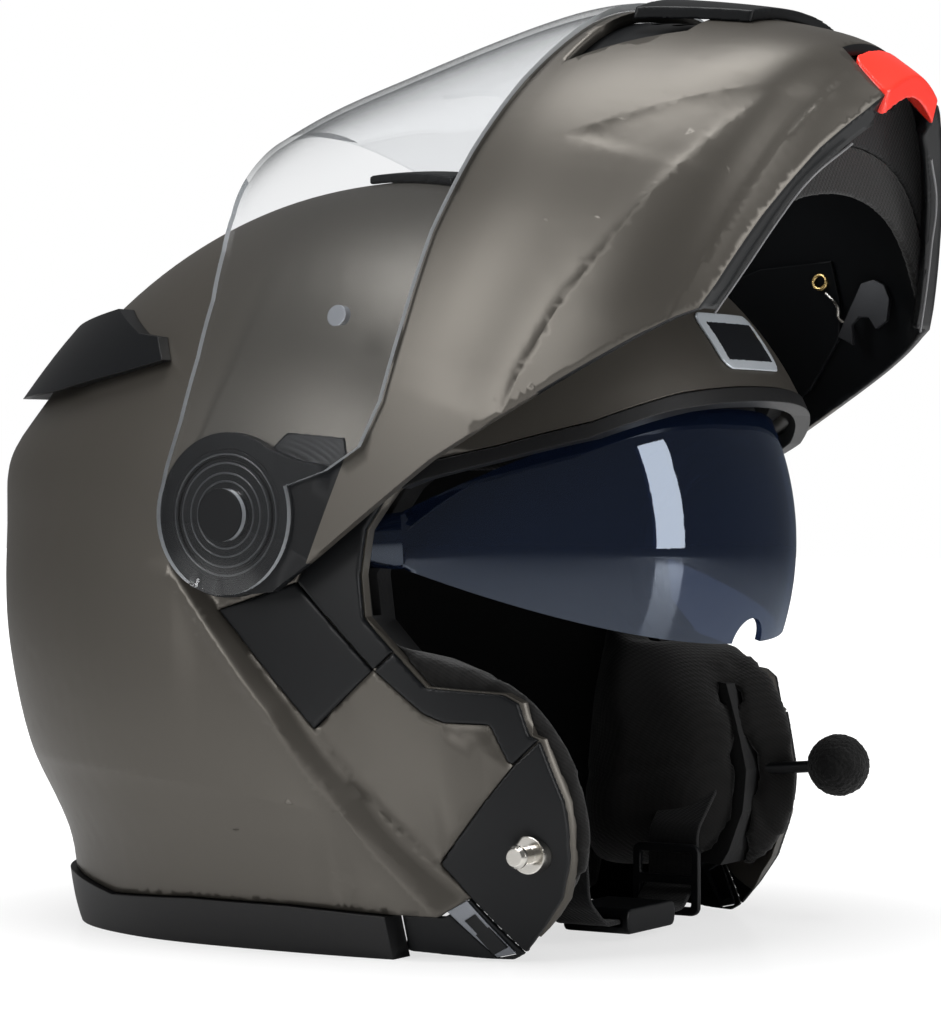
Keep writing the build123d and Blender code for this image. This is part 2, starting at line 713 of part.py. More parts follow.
# Black blocks beside the ratchets, under the visor
PIVOT_PLATE_SHARES = ((0.12, 0.20), (0.20, 0.28), (0.42, 0.26), (0.46, 0.10), (0.30, -0.02), (0.23, 0.0))
pivot_plate_rise = 0.5
for name, side in SIDES:
    with BuildPart() as pivot_plate:
        add(helmet_form(-pivot_plate_rise) - helmet_form(-film_gap))
        add(side_prism(PIVOT_PLATE_SHARES, side), mode=Mode.INTERSECT)
        with BuildSketch(side_plane()):
            Circle(base_radius + layer_gap)
        extrude(amount=2 * half_width, both=True, mode=Mode.SUBTRACT)
    save(pivot_plate.part, "pivot_plate_" + name)

# Comfort lining of the crown
crown_pad_thickness = 8.0
CROWN_PAD_SHARES = (
    (-1.60, 0.15), (0.45, 0.15), (0.85, 0.32), (1.20, 0.45), (1.20, 1.20), (-1.60, 1.20),
)
with BuildPart() as crown_pad:
    add(helmet_form(cavity_inset + layer_gap) - helmet_form(cavity_inset + layer_gap + crown_pad_thickness))
    add(side_prism(CROWN_PAD_SHARES), mode=Mode.INTERSECT)
save(crown_pad.part, "crown_pad")


def half_at(forward, rise, inset):
    """Half width of the drawn-in helmet form at a distance forward, below the axis."""
    drop = -rise / axis_height
    rows = sorted(LOWER_SHARES)
    for low, high in zip(rows, rows[1:]):
        if low[0] <= drop <= high[0]:
            along = (drop - low[0]) / (high[0] - low[0])
            wide, front, rear, square = (a + (b - a) * along for a, b in zip(low[1:], high[1:]))
    ratio = min(1, max(0, (forward - form_centre) / (front * brow_reach - inset)))
    return (wide * half_width - inset) * (1 - ratio ** square) ** (1 / square)


# Webbing of the chin strap, its upper ends held in the cheek pads
strap_forward = 84.0
strap_foot_share = -1.43
strap_width = 20.0
strap_thickness = 1.6
STRAP_RIGHT_SHARES = (
    (-0.58, -1.02), (-0.42, -1.16), (-0.40, -1.34), (-0.28, strap_foot_share), (-0.06, strap_foot_share),
)
STRAP_LEFT_SHARES = (
    (0.07, strap_foot_share), (0.30, strap_foot_share), (0.415, -1.34), (0.42, -1.16), (0.58, -1.02),
)
strap_bend = 9.0
straps = []
for title, shares in (("strap_right", STRAP_RIGHT_SHARES), ("strap_left", STRAP_LEFT_SHARES)):
    with BuildPart() as strap:
        with BuildSketch(front_plane(strap_forward - strap_width / 2)):
            with BuildLine() as run:
                FilletPolyline(*scaled(shares), radius=strap_bend)
            trace(run.line, line_width=strap_thickness)
        extrude(amount=strap_width)
    save(strap.part, title)
    straps.append(strap.part)

# Cheek pads: rise and front tip of each section, as shares of axis to pin, and its fullness
CHEEK_SHARES = (
    (-0.34, 0.42, 0.45), (-0.42, 0.53, 0.55), (-0.48, 0.68, 0.65), (-0.54, 0.88, 0.75),
    (-0.62, 1.00, 0.88), (-0.78, 1.10, 0.97), (-0.95, 1.145, 1.00), (-1.08, 1.15, 1.00),
    (-1.18, 1.13, 0.92), (-1.27, 1.07, 0.75), (-1.33, 0.98, 0.50),
)
# Along each section: shares of its length outside, then shares of its length and depth inside
CHEEK_OUTER_SHARES = (0.05, 0.35, 0.65, 0.88)
CHEEK_INNER_SHARES = ((0.93, 0.22), (0.81, 0.47), (0.66, 0.78), (0.40, 1.00), (0.12, 0.90))
cheek_back = 30.0
cheek_outer = 9.0
cheek_tip = 14.0
cheek_nose = 7.0
cheek_depth = 51.0
liner_space = helmet_form(-overrun) - helmet_form(cavity_inset + layer_gap)
liner_space = liner_space - side_prism(LINER_FRONT_SHARES, inset=layer_gap)
edge_space = helmet_form(-overrun) - helmet_form(pocket_depth + shell_wall + 2 * layer_gap)
edge_space = edge_space - side_prism(EYEPORT_SHARES, inset=layer_gap)
boom_root_shares = (1.06, -0.95, 0.74)
foam_shares = (1.325, -0.93, 0.80)
boom_root = place(*(share * axis_to_pin for share in boom_root_shares))
foam_centre = place(*(share * axis_to_pin for share in foam_shares))
boom_radius = 2.2
foam_radius = 11.8
boom_line = foam_centre - boom_root
for name, side in SIDES:
    with BuildPart() as cheek_pad:
        for rise_share, tip_share, full_share in CHEEK_SHARES:
            rise, tip = (v * axis_to_pin for v in (rise_share, tip_share))
            length = tip - cheek_back
            points = []
            for share in CHEEK_OUTER_SHARES:
                forward = cheek_back + share * length
                points.append((side * half_at(forward, rise, cheek_outer), forward))
            points.append((side * half_at(tip - cheek_nose, rise, cheek_tip), tip))
            for share, depth_share in CHEEK_INNER_SHARES:
                forward = cheek_back + share * length
                inset = cheek_outer + full_share * depth_share * cheek_depth
                points.append((side * half_at(forward, rise, inset), forward))
            with BuildSketch(plan_plane(rise)):
                with BuildLine():
                    add(Edge.make_spline(points, periodic=True, parameters=list(range(len(points) + 1))))
                make_face()
        loft()
        add(liner_space, mode=Mode.SUBTRACT)
        add(edge_space, mode=Mode.SUBTRACT)
        add(straps, mode=Mode.SUBTRACT)
        if side > 0:
            with BuildSketch(Plane(origin=boom_root, z_dir=boom_line)):
                Circle(boom_radius + layer_gap)
            extrude(amount=boom_line.length, mode=Mode.SUBTRACT)
    save(cheek_pad.part, "cheek_pad_" + name)

# Neck roll round the lower opening
neck_outer = 9.0
neck_inner = 30.0
NECK_SHARES = (
    (-1.90, -1.21), (-0.70, -1.25), (0.28, -1.25), (0.28, -1.46), (-0.70, -1.47), (-1.90, -1.40),
)
with BuildPart() as neck_roll:
    add(helmet_form(neck_outer) - helmet_form(neck_inner))
    add(side_prism(NECK_SHARES), mode=Mode.INTERSECT)
save(neck_roll.part, "neck_roll")

# Slider and buckle of the chin strap
buckle_length = 36.0
buckle_width = 26.0
buckle_height = 9.0
slot_gap = 0.5
buckle_seat = (0, strap_foot_share * axis_to_pin)
with BuildPart() as buckle:
    with BuildSketch(front_plane(strap_forward - buckle_width / 2)):
        with Locations(buckle_seat):
            RectangleRounded(buckle_length, buckle_height, buckle_height / 3)
    extrude(amount=buckle_width)
    with BuildSketch(front_plane(strap_forward - strap_width / 2 - slot_gap)):
        with Locations(buckle_seat):
            Rectangle(2 * buckle_length, strap_thickness + 2 * slot_gap)
    extrude(amount=strap_width + 2 * slot_gap, mode=Mode.SUBTRACT)
save(buckle.part, "buckle")
slider_width = 27.0
slider_height = 26.0
slider_thickness = 2.4
slider_rail = 3.2
slider_left_share = 0.375
slider_rise_share = -1.335
with BuildPart() as strap_slider:
    with BuildSketch(side_plane(0, slider_left_share * axis_to_pin)):
        with Locations((strap_forward, slider_rise_share * axis_to_pin)):
            RectangleRounded(slider_width, slider_height, slider_rail)
            Rectangle(slider_width - 2 * slider_rail, slider_height - 2 * slider_rail, mode=Mode.SUBTRACT)
            Rectangle(slider_width, slider_rail)
    extrude(amount=slider_thickness)
save(strap_slider.part, "strap_slider")

# Microphone on a short boom by the left cheek
with BuildPart() as mic_boom:
    with BuildSketch(Plane(origin=boom_root, z_dir=boom_line)):
        Circle(boom_radius)
    extrude(amount=boom_line.length)
save(mic_boom.part, "mic_boom")
with BuildPart() as mic_foam:
    with Locations(Location(foam_centre)):
        Sphere(foam_radius)
    with BuildSketch(Plane(origin=boom_root, z_dir=boom_line)):
        Circle(boom_radius + bearing_gap)
    extrude(amount=boom_line.length + bearing_gap, mode=Mode.SUBTRACT)
save(mic_foam.part, "mic_foam")

# Lever that moves the sun visor, in its slot on the left
lever_travel = 16.0
lever_stem = 10.0
lever_knob = 14.0
lever_height = 10.0
lever_rise = 3.0
lever_start = (lever_shares[0] * axis_to_pin - lever_travel / 2, lever_shares[1] * axis_to_pin)
with BuildPart() as stem:
    with BuildSketch(side_plane()):
        with Locations(lever_start):
            SlotOverall(lever_stem, lever_slot_width - 2 * layer_gap)
    extrude(amount=-2 * half_width)
    add(helmet_form(-lever_rise / 2) - helmet_form(shell_wall - slot_gap), mode=Mode.INTERSECT)
with BuildPart() as sun_lever:
    with BuildSketch(side_plane()):
        with Locations(lever_start):
            RectangleRounded(lever_knob, lever_height, lever_height / 4)
    extrude(amount=-2 * half_width)
    add(helmet_form(-lever_rise) - helmet_form(-slot_gap), mode=Mode.INTERSECT)
    add(stem.part)
save(sun_lever.part, "sun_lever")

# Inside of the chin bar: base of its vent, foam and covers of its arms
base_wall = 2.4
VENT_BASE_SHARES = ((-0.76, -0.56), (0.76, -0.56), (0.54, -0.93), (-0.54, -0.93))
vent_slot_rises = (-0.66, -0.74, -0.82)
vent_slot_width = 60.0
vent_slot_height = 3.4
with BuildPart() as chin_vent_base:
    add(face_form(face_wall + layer_gap) - face_form(face_wall + layer_gap + base_wall))
    with BuildSketch(front_plane(0, open_angle)):
        with BuildLine():
            Polyline(scaled(VENT_BASE_SHARES), close=True)
        make_face()
        for share in vent_slot_rises:
            with Locations((0, share * axis_to_pin)):
                SlotOverall(vent_slot_width, vent_slot_height, mode=Mode.SUBTRACT)
    extrude(amount=2 * chin_reach, mode=Mode.INTERSECT)
save(chin_vent_base.part, "chin_vent_base")
chin_foam_outer = face_wall + base_wall + 2 * layer_gap
chin_foam_inner = 22.0
CHIN_FOAM_SHARES = ((-0.60, -0.58), (0.60, -0.58), (0.56, -1.30), (-0.56, -1.30))
with BuildPart() as chin_foam:
    add(face_form(chin_foam_outer) - face_form(chin_foam_inner))
    with BuildSketch(front_plane(0, open_angle)):
        with BuildLine():
            Polyline(scaled(CHIN_FOAM_SHARES), close=True)
        make_face()
    extrude(amount=2 * chin_reach, mode=Mode.INTERSECT)
save(chin_foam.part, "chin_foam")
ARM_COVER_SHARES = (
    (0.34, -0.52), (0.80, -0.53), (1.05, -0.51), (1.12, -0.62), (1.22, -0.92), (1.06, -0.98),
    (0.94, -0.99), (0.72, -0.90), (0.46, -0.68),
)
arm_cover_wall = 1.8
for name, side in SIDES:
    with BuildPart() as arm_cover:
        add(face_form(face_wall + layer_gap) - face_form(face_wall + layer_gap + arm_cover_wall))
        add(side_prism(ARM_COVER_SHARES, side, open_angle), mode=Mode.INTERSECT)
    save(arm_cover.part, "arm_cover_" + name)

# Curtain across the foot of the chin bar: a mesh field and a ribbed band
curtain_inset = face_wall + layer_gap
curtain_share = -1.37
curtain_thickness = 2.4
curtain_front = 182.0
curtain_half = 110.0
FREE_EDGE_SHARES = (
    (-1.10, 0.98), (-0.90, 1.13), (-0.55, 1.38), (0.0, 1.50), (0.55, 1.38), (0.90, 1.13), (1.10, 0.98),
)
MESH_EDGE_SHARES = (
    (-1.10, 1.07), (-0.90, 1.24), (-0.55, 1.53), (0.0, 1.67), (0.55, 1.53), (0.90, 1.24), (1.10, 1.07),
)
curtain_level = plan_plane(curtain_share * axis_to_pin, open_angle)


def curtain_zone(shares):
    """The area of the curtain's level in front of a curved edge."""
    with BuildSketch(curtain_level) as zone:
        with BuildLine():
            edge = Spline(scaled(shares))
            Polyline(edge @ 1, (curtain_half, 2 * chin_reach), (-curtain_half, 2 * chin_reach), edge @ 0)
        make_face()
    return zone.sketch_local


with BuildPart() as curtain_mesh:
    with BuildSketch(curtain_level):
        add(curtain_zone(MESH_EDGE_SHARES))
    extrude(amount=-curtain_thickness)
    add(face_form(curtain_inset), mode=Mode.INTERSECT)
    with BuildSketch(curtain_level):
        with Locations((0, chin_reach)):
            Rectangle(2 * (button_half + 2 * layer_gap), 2 * (chin_reach - curtain_front))
    extrude(amount=-curtain_thickness, mode=Mode.SUBTRACT)
save(curtain_mesh.part, "curtain_mesh")
with BuildPart() as curtain_band:
    with BuildSketch(curtain_level):
        add(curtain_zone(FREE_EDGE_SHARES))
        with Locations((0, -layer_gap)):
            add(curtain_zone(MESH_EDGE_SHARES), mode=Mode.SUBTRACT)
    extrude(amount=-curtain_thickness)
    add(face_form(curtain_inset), mode=Mode.INTERSECT)
save(curtain_band.part, "curtain_band")

# Scoop of the chin vent, open at its top edge
scoop_rise = 4.2
scoop_wall = 1.8
scoop_travel = 5.0
SCOOP_SHARES = ((-0.46, -0.66), (0.46, -0.66), (0.34, -1.04), (-0.34, -1.04))
SCOOP_HOLLOW_SHARES = ((-0.43, -0.60), (0.43, -0.60), (0.315, -1.01), (-0.315, -1.01))
with BuildPart() as hollow:
    add(face_form(scoop_wall - scoop_rise))
    with BuildSketch(front_plane(0, open_angle)):
        with BuildLine():
            Polyline(scaled(SCOOP_HOLLOW_SHARES), close=True)
        make_face()
    extrude(amount=2 * chin_reach, mode=Mode.INTERSECT)
with BuildPart() as chin_vent_scoop:
    add(face_form(-scoop_rise) - face_form(-plate_gap))
    with BuildSketch(front_plane(0, open_angle)):
        with BuildLine():
            Polyline(scaled(SCOOP_SHARES), close=True)
        make_face()
    extrude(amount=2 * chin_reach, mode=Mode.INTERSECT)
    add(hollow.part, mode=Mode.SUBTRACT)
save(chin_vent_scoop.part, "chin_vent_scoop")

# Release button at the foot of the chin bar
button_proud = 0.8
button_depth = 7.0
button_height = 15.0
with BuildPart() as release_button:
    add(face_form(-button_proud) - face_form(button_depth))
    with BuildSketch(front_plane(0, open_angle)):
        with Locations((0, button_low_share * axis_to_pin + button_height / 2)):
            RectangleRounded(2 * button_half, button_height, button_height / 5)
    extrude(amount=2 * chin_reach, mode=Mode.INTERSECT)
save(release_button.part, "release_button")

# Hooks that take the lock pins when the chin bar is down
hook_inner = 96.4
hook_wall = 2.4
hook_axle_radius = 2.5
hook_axle_reach = 100.2
hook_axle_shares = (1.14, -1.13)
HOOK_SHARES = (
    (0.955, -1.035), (1.02, -1.045), (1.17, -1.075), (1.195, -1.12), (1.185, -1.165), (1.14, -1.20),
    (1.06, -1.21), (1.02, -1.175), (1.055, -1.135), (1.045, -1.095), (1.01, -1.075), (0.94, -1.10),
)
for name, side in SIDES:
    with BuildPart() as latch_hook:
        with BuildSketch(side_plane(open_angle, side * hook_inner)):
            with BuildLine():
                Polyline(scaled(HOOK_SHARES), close=True)
            make_face()
        extrude(amount=-side * hook_wall)
        with BuildSketch(side_plane(open_angle, side * hook_inner)):
            with Locations(tuple(v * axis_to_pin for v in hook_axle_shares)):
                Circle(hook_axle_radius)
        extrude(amount=-side * (hook_axle_reach - hook_inner))
    save(latch_hook.part, "latch_hook_" + name)

# Clear visor with its round ends, and the studs on it
with BuildPart() as visor:
    add(side_prism(VISOR_SHARES, turn=open_angle))
    with BuildSketch(side_plane(open_angle)):
        Circle(visor_lobe_radius)
    extrude(amount=2 * face_half_width, both=True)
    add(face_form(-visor_gap - visor_wall), mode=Mode.INTERSECT)
    add(face_form(-visor_gap), mode=Mode.SUBTRACT)
    with BuildSketch(side_plane()):
        Circle(cap_radius + bearing_gap)
    extrude(amount=2 * face_half_width, both=True, mode=Mode.SUBTRACT)
save(visor.part, "visor")
stud_radius = 3.6
stud_length = 3.0
stud_shares = (0.75, -0.22)
with BuildPart() as visor_studs:
    with BuildSketch(side_plane(open_angle)):
        with Locations(tuple(v * axis_to_pin for v in stud_shares)):
            Circle(stud_radius)
    extrude(amount=2 * face_half_width, both=True)
    add(face_form(-visor_gap + film_gap), mode=Mode.INTERSECT)
    add(face_form(-visor_gap + film_gap + stud_length), mode=Mode.SUBTRACT)
save(visor_studs.part, "visor_studs")
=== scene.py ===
import json
import math

import bmesh
import bpy
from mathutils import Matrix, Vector, noise
from mathutils.bvhtree import BVHTree


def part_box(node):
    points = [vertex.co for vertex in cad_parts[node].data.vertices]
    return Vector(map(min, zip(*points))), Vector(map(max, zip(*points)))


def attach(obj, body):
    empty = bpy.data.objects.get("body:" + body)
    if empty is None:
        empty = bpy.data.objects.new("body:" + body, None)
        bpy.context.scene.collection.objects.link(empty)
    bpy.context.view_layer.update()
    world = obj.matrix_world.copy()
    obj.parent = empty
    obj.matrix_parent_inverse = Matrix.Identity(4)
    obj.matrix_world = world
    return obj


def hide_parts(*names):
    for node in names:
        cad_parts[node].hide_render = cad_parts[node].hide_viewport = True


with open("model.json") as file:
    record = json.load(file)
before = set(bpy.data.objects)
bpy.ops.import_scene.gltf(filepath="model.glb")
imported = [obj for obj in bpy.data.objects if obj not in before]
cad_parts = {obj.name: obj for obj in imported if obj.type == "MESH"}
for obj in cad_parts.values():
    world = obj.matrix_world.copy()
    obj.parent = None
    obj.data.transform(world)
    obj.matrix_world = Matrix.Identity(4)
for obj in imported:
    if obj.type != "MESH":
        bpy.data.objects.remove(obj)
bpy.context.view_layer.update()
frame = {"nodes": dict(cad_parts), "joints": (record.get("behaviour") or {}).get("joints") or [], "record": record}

bl_info = {
    "name": "Modular Helmet",
    "version": (1, 0, 0),
    "blender": (4, 5, 0),
    "location": "3D View > Sidebar > Helmet",
    "description": "Finishes a flip-up motorcycle helmet round its construction model",
    "category": "Add Mesh",
}

MM = 0.001
SLOT_OF = {part["node"]: part["material_slot"] for part in frame["record"]["subparts"]}
BODY_OF = {
    node: body
    for body, nodes in frame["record"]["behaviour"]["bodies"].items()
    for node in nodes
}
JOINTS = {joint["name"]: joint for joint in frame["joints"]}
AXIS = Vector(JOINTS["chin_bar_flip"]["pos_m"])
OPEN_ANGLE = math.radians(JOINTS["chin_bar_flip"]["range_deg"][1])
SIDES = {"right": -1, "left": 1}

# Shells. Lines run forward and up of the ratchet axis, and all lengths here are in millimetres.
SMOOTH_NODES = (
    "eps_liner", "visor", "sun_visor", "brow_trim", "bottom_trim", "chin_vent_base", "chin_foam",
    "arm_cover_right", "arm_cover_left",
)
SKIN_ANGLE = 30
VENT_ANGLE = 12
HOOK_ANGLE = 25
WHOLE_ANGLE = 180
CREASED_ANGLE = 40
LOBE_EDGE = ((26, -32), (54, 34))
LOBE_TOP = 20.0
CHIN_MIDDLE = 60.0
CHIN_FOOT = -105.0
SHELL_MIDDLE = 0.0
INWARD_LOOK = -0.05
DOWNWARD_LOOK = -0.75
VISOR_EDGE = 2.4
VISOR_MIDDLE = 40.0
SIDEWAYS_LOOK = 0.45

# Creases: a line, the side that is pressed in, the depth and the width of the pressed band
CREASE_REACH = 42.0
CREASE_COARSE = 9.0
CREASE_FINE = 3.4
CREASE_OVERRUN = 2.0
CREASE_ENDS = 0.10
CREASE_LIMIT = 2.4
OUTWARD_LOOK = 0.3
WELD = 1 / 12
SHORTEST_EDGE = 1 / 20
CHIN_CREASES = (
    (((57, -92.5), (74, -94.8), (85.5, -97.3), (97.5, -100.4), (113, -105.5), (123, -109.5),
      (136, -113.2), (147, -117.4), (161, -122.8), (172, -127), (184, -131)), 1, 1.9, 8.0),
    (((96, -133), (105, -134.2), (117, -135.9), (129, -137.4), (144, -138.4), (158, -139.4),
      (175, -140.6), (192, -143)), 1, 1.5, 5.5),
    (((150, -75), (157, -86), (165, -97), (172, -108.3), (176, -115.9), (180, -123), (184, -131)),
     -1, 0.9, 7.0),
)
SHELL_CREASES = (
    (((-26, -22), (-9.4, -42.3), (6.9, -61.5), (22.3, -77.5), (32.1, -88.8), (39.2, -100.2),
      (54.2, -114.5), (68, -131)), -1, 1.3, 8.0),
    (((24, -69.5), (40.8, -90), (54.9, -104), (66.9, -117.3), (74, -124.5)), 1, 2.0, 7.0),
    (((-120, -88), (-67, -89), (-39, -91), (-2, -95.2), (41, -101)), -1, 1.0, 10.0),
)

# Mouldings: a node, the edge length of its new mesh and its smoothing steps
SIDE_MOULDINGS = (
    ("side_plate_", 0.55, 3),
    ("eyeport_frame_", 0.55, 3),
    ("front_trim_", 0.55, 3),
    ("latch_plate_", 0.55, 3),
    ("corner_trim_", 0.55, 3),
    ("pivot_plate_", 0.4, 2),
)
MIDDLE_MOULDINGS = (
    ("crown_vent", 0.7, 5),
    ("chin_vent_scoop", 0.6, 5),
    ("release_button", 0.45, 6),
    ("buckle", 0.6, 4),
    ("strap_slider", 0.45, 3),
    ("sun_lever", 0.4, 4),
    ("badge", 0.35, 2),
)

# Pads, webbing and the microphone's foam
PAD_PRESSURE = 4.0
PAD_FRAMES = 15
CHEEK_SEAMS = (((96, -80), (0, -1, 0.35), 1.2), ((60, -96), (0, 0.15, 1), 1.0))
SEAM_WIDTH = 1.6
CURTAIN_VOXEL = 0.9
WEBBING_EDGE = 0.5
FOAM_BUMPS = ((900, 0.35), (260, 0.25))
FOAM_PLAY = 0.5

# Ratchet rings, badge and inlays
RING_RADII = (20.6, 17.6, 14.2, 11.4)
RING_WIRE = 0.32
RING_POINTS = 48
BADGE_FIELD = (0.80, 0.66)
BADGE_LOOK = -0.3
SLOT_CORNERS = ((73.5, -136.0), (78.5, -132.5), (87.5, -144.8), (82.5, -147.5))
SLOT_SINK = 1.9
INLAY_REACH = 98.0

# Seams and wires, with the raised chin bar
STITCH_RISES = (-128, -131.5)
STITCH_FORWARD = 150
STITCH_STEP = 4.0
STITCH_COUNT = 17
STITCH_LENGTH = 2.2
STITCH_GAP = 1.6
STITCH_LIFT = 0.25
STITCH_WIRE = 0.28
# RIM_LINE and RIM_WIRE draw a light-grey tube along the border of the paint and the black rim: its light colour is
# a painted highlight, standing in for the line of light this edge catches
RIM_LINE = ((83, 106, -141), (73, 123, -143.6), (63.5, 138.5, -145.6), (53.5, 153, -148), (33, 168.5, -151))
RIM_WIRE = 0.45
RIVET_PLACE = (113.3, -88.6)
RIVET_REACH = 101.6
RIVET_RADIUS = 2.6
RIVET_WIRE = 0.8
RIVET_POINTS = 16
SPRING_LINE = ((101.5, 110, -92), (101.8, 106, -98), (103, 102, -99), (104.5, 100, -104), (104, 96, -106))
SPRING_WIRE = 0.7

# Stage, in metres
CAMERA_PLACE = (-1.1084, -0.6598, 0.160)
CAMERA_HEADING = (0.8526, 0.5225, 0.0)
CAMERA_LENS = 124.0
CAMERA_SHIFT = (0.0509, -0.0260)
FLOOR_SIZE = 6.0
LIT_POINT = (0, 0, 0.17)
LAMPS = (
    # name, distances ahead, to the right and up of the lit point, width and height, power
    ("Overhead", (-0.2, 0, 1.5), (1.3, 0.9), 30),
    ("Front left", (-1.2, -1.3, 0.7), (0.6, 1.0), 20),
    ("Front right", (-0.7, 1.6, 0.4), (0.5, 1.0), 18),
)


def place(forward, rise, left=0.0, turn=0.0):
    """A point forward, up and left of the ratchet axis, in millimetres, in a frame turned up about it."""
    ahead = Vector((0, -math.cos(turn), math.sin(turn)))
    up = Vector((0, math.sin(turn), math.cos(turn)))
    return AXIS + (ahead * forward + up * rise + Vector((left, 0, 0))) * MM


class HelmetFinish(bpy.types.PropertyGroup):
    paint: bpy.props.FloatVectorProperty(
        name="Shell paint", description="Colour of the matt metallic paint",
        subtype="COLOR", size=3, min=0, max=1, default=(0.080, 0.073, 0.063))
    trim: bpy.props.FloatVectorProperty(
        name="Black trim", description="Colour of the black plastic panels",
        subtype="COLOR", size=3, min=0, max=1, default=(0.0045, 0.005, 0.0058))
    lining: bpy.props.FloatVectorProperty(
        name="Lining", description="Colour of the brushed lining",
        subtype="COLOR", size=3, min=0, max=1, default=(0.006, 0.0057, 0.0055))
    release: bpy.props.FloatVectorProperty(
        name="Release button", description="Colour of the button that frees the chin bar",
        subtype="COLOR", size=3, min=0, max=1, default=(0.85, 0.035, 0.02))
    smoke: bpy.props.FloatVectorProperty(
        name="Sun visor", description="Tint of the sun visor",
        subtype="COLOR", size=3, min=0, max=1, default=(0.006, 0.011, 0.028))


class HelmetSizes(bpy.types.PropertyGroup):
    pad_voxel: bpy.props.FloatProperty(
        name="Pad detail", description="Edge length of the pads' surface mesh",
        subtype="DISTANCE", unit="LENGTH", min=0.001, default=0.0028)
    pad_swell: bpy.props.FloatProperty(
        name="Pad swell", description="How far the cover of a pad may swell",
        subtype="DISTANCE", unit="LENGTH", min=0, default=0.0025)
    edge_radius: bpy.props.FloatProperty(
        name="Edge radius", description="Radius of the moulded edges",
        subtype="DISTANCE", unit="LENGTH", min=0, default=0.0006)


def finish():
    return bpy.context.scene.helmet_finish


def sizes():
    return bpy.context.scene.helmet_sizes


# Shader node groups

def node_group(name, inputs, outputs):
    """An empty shader group with its named inputs and outputs, and its two end nodes."""
    tree = bpy.data.node_groups.new(name, "ShaderNodeTree")
    for label, kind, value in inputs:
        socket = tree.interface.new_socket(label, in_out="INPUT", socket_type=kind)
        socket.default_value = value
    for label, kind in outputs:
        tree.interface.new_socket(label, in_out="OUTPUT", socket_type=kind)
    return tree, tree.nodes.new("NodeGroupInput"), tree.nodes.new("NodeGroupOutput")


def add_node(tree, kind, settings=None, **links):
    """A node with its settings, and its inputs taken from sockets or plain values."""
    node = tree.nodes.new(kind)
    for key, value in (settings or {}).items():
        setattr(node, key, value)
    for key, value in links.items():
        numbered = key[0] == "i" and key[1:].isdigit()
        socket = node.inputs[int(key[1:]) if numbered else key.replace("_", " ")]
        if isinstance(value, bpy.types.NodeSocket):
            tree.links.new(value, socket)
        else:
            socket.default_value = value
    return node


def moulded_group():
    """Colour drift, roughness drift and fine grain of a painted or moulded surface."""
    inputs = (
        ("Point", "NodeSocketVector", (0, 0, 0)),
        ("Colour", "NodeSocketColor", (0.5, 0.5, 0.5, 1)),
        ("Drift", "NodeSocketFloat", 0.1),
        ("Roughness", "NodeSocketFloat", 0.5),
        ("Roughness drift", "NodeSocketFloat", 0.05),
        ("Grain size", "NodeSocketFloat", 900.0),
        ("Patch size", "NodeSocketFloat", 18.0),
    )
    outputs = (
        ("Colour", "NodeSocketColor"),
        ("Roughness", "NodeSocketFloat"),
        ("Height", "NodeSocketFloat"),
    )
    tree, start, end = node_group("Moulded surface", inputs, outputs)
    grain = add_node(tree, "ShaderNodeTexNoise", Vector=start.outputs["Point"],
                     Scale=start.outputs["Grain size"], Detail=2.0, Roughness=0.6)
    patch = add_node(tree, "ShaderNodeTexNoise", Vector=start.outputs["Point"],
                     Scale=start.outputs["Patch size"], Detail=4.0, Roughness=0.55)
    speck = add_node(tree, "ShaderNodeMath", {"operation": "MULTIPLY_ADD"},
                     i0=grain.outputs["Fac"], i1=0.6, i2=0.2)
    both = add_node(tree, "ShaderNodeMath", {"operation": "MULTIPLY_ADD"},
                    i0=patch.outputs["Fac"], i1=0.5, i2=speck.outputs[0])
    centred = add_node(tree, "ShaderNodeMath", {"operation": "SUBTRACT"}, i0=both.outputs[0], i1=0.75)
    amount = add_node(tree, "ShaderNodeMath", {"operation": "MULTIPLY_ADD"},
                      i0=centred.outputs[0], i1=start.outputs["Drift"], i2=1.0)
    tint = add_node(tree, "ShaderNodeVectorMath", {"operation": "SCALE"},
                    i0=start.outputs["Colour"], Scale=amount.outputs[0])
    rough = add_node(tree, "ShaderNodeMath", {"operation": "MULTIPLY_ADD"},
                     i0=centred.outputs[0], i1=start.outputs["Roughness drift"],
                     i2=start.outputs["Roughness"])
    tree.links.new(tint.outputs[0], end.inputs["Colour"])
    tree.links.new(rough.outputs[0], end.inputs["Roughness"])
    tree.links.new(grain.outputs["Fac"], end.inputs["Height"])
    return tree


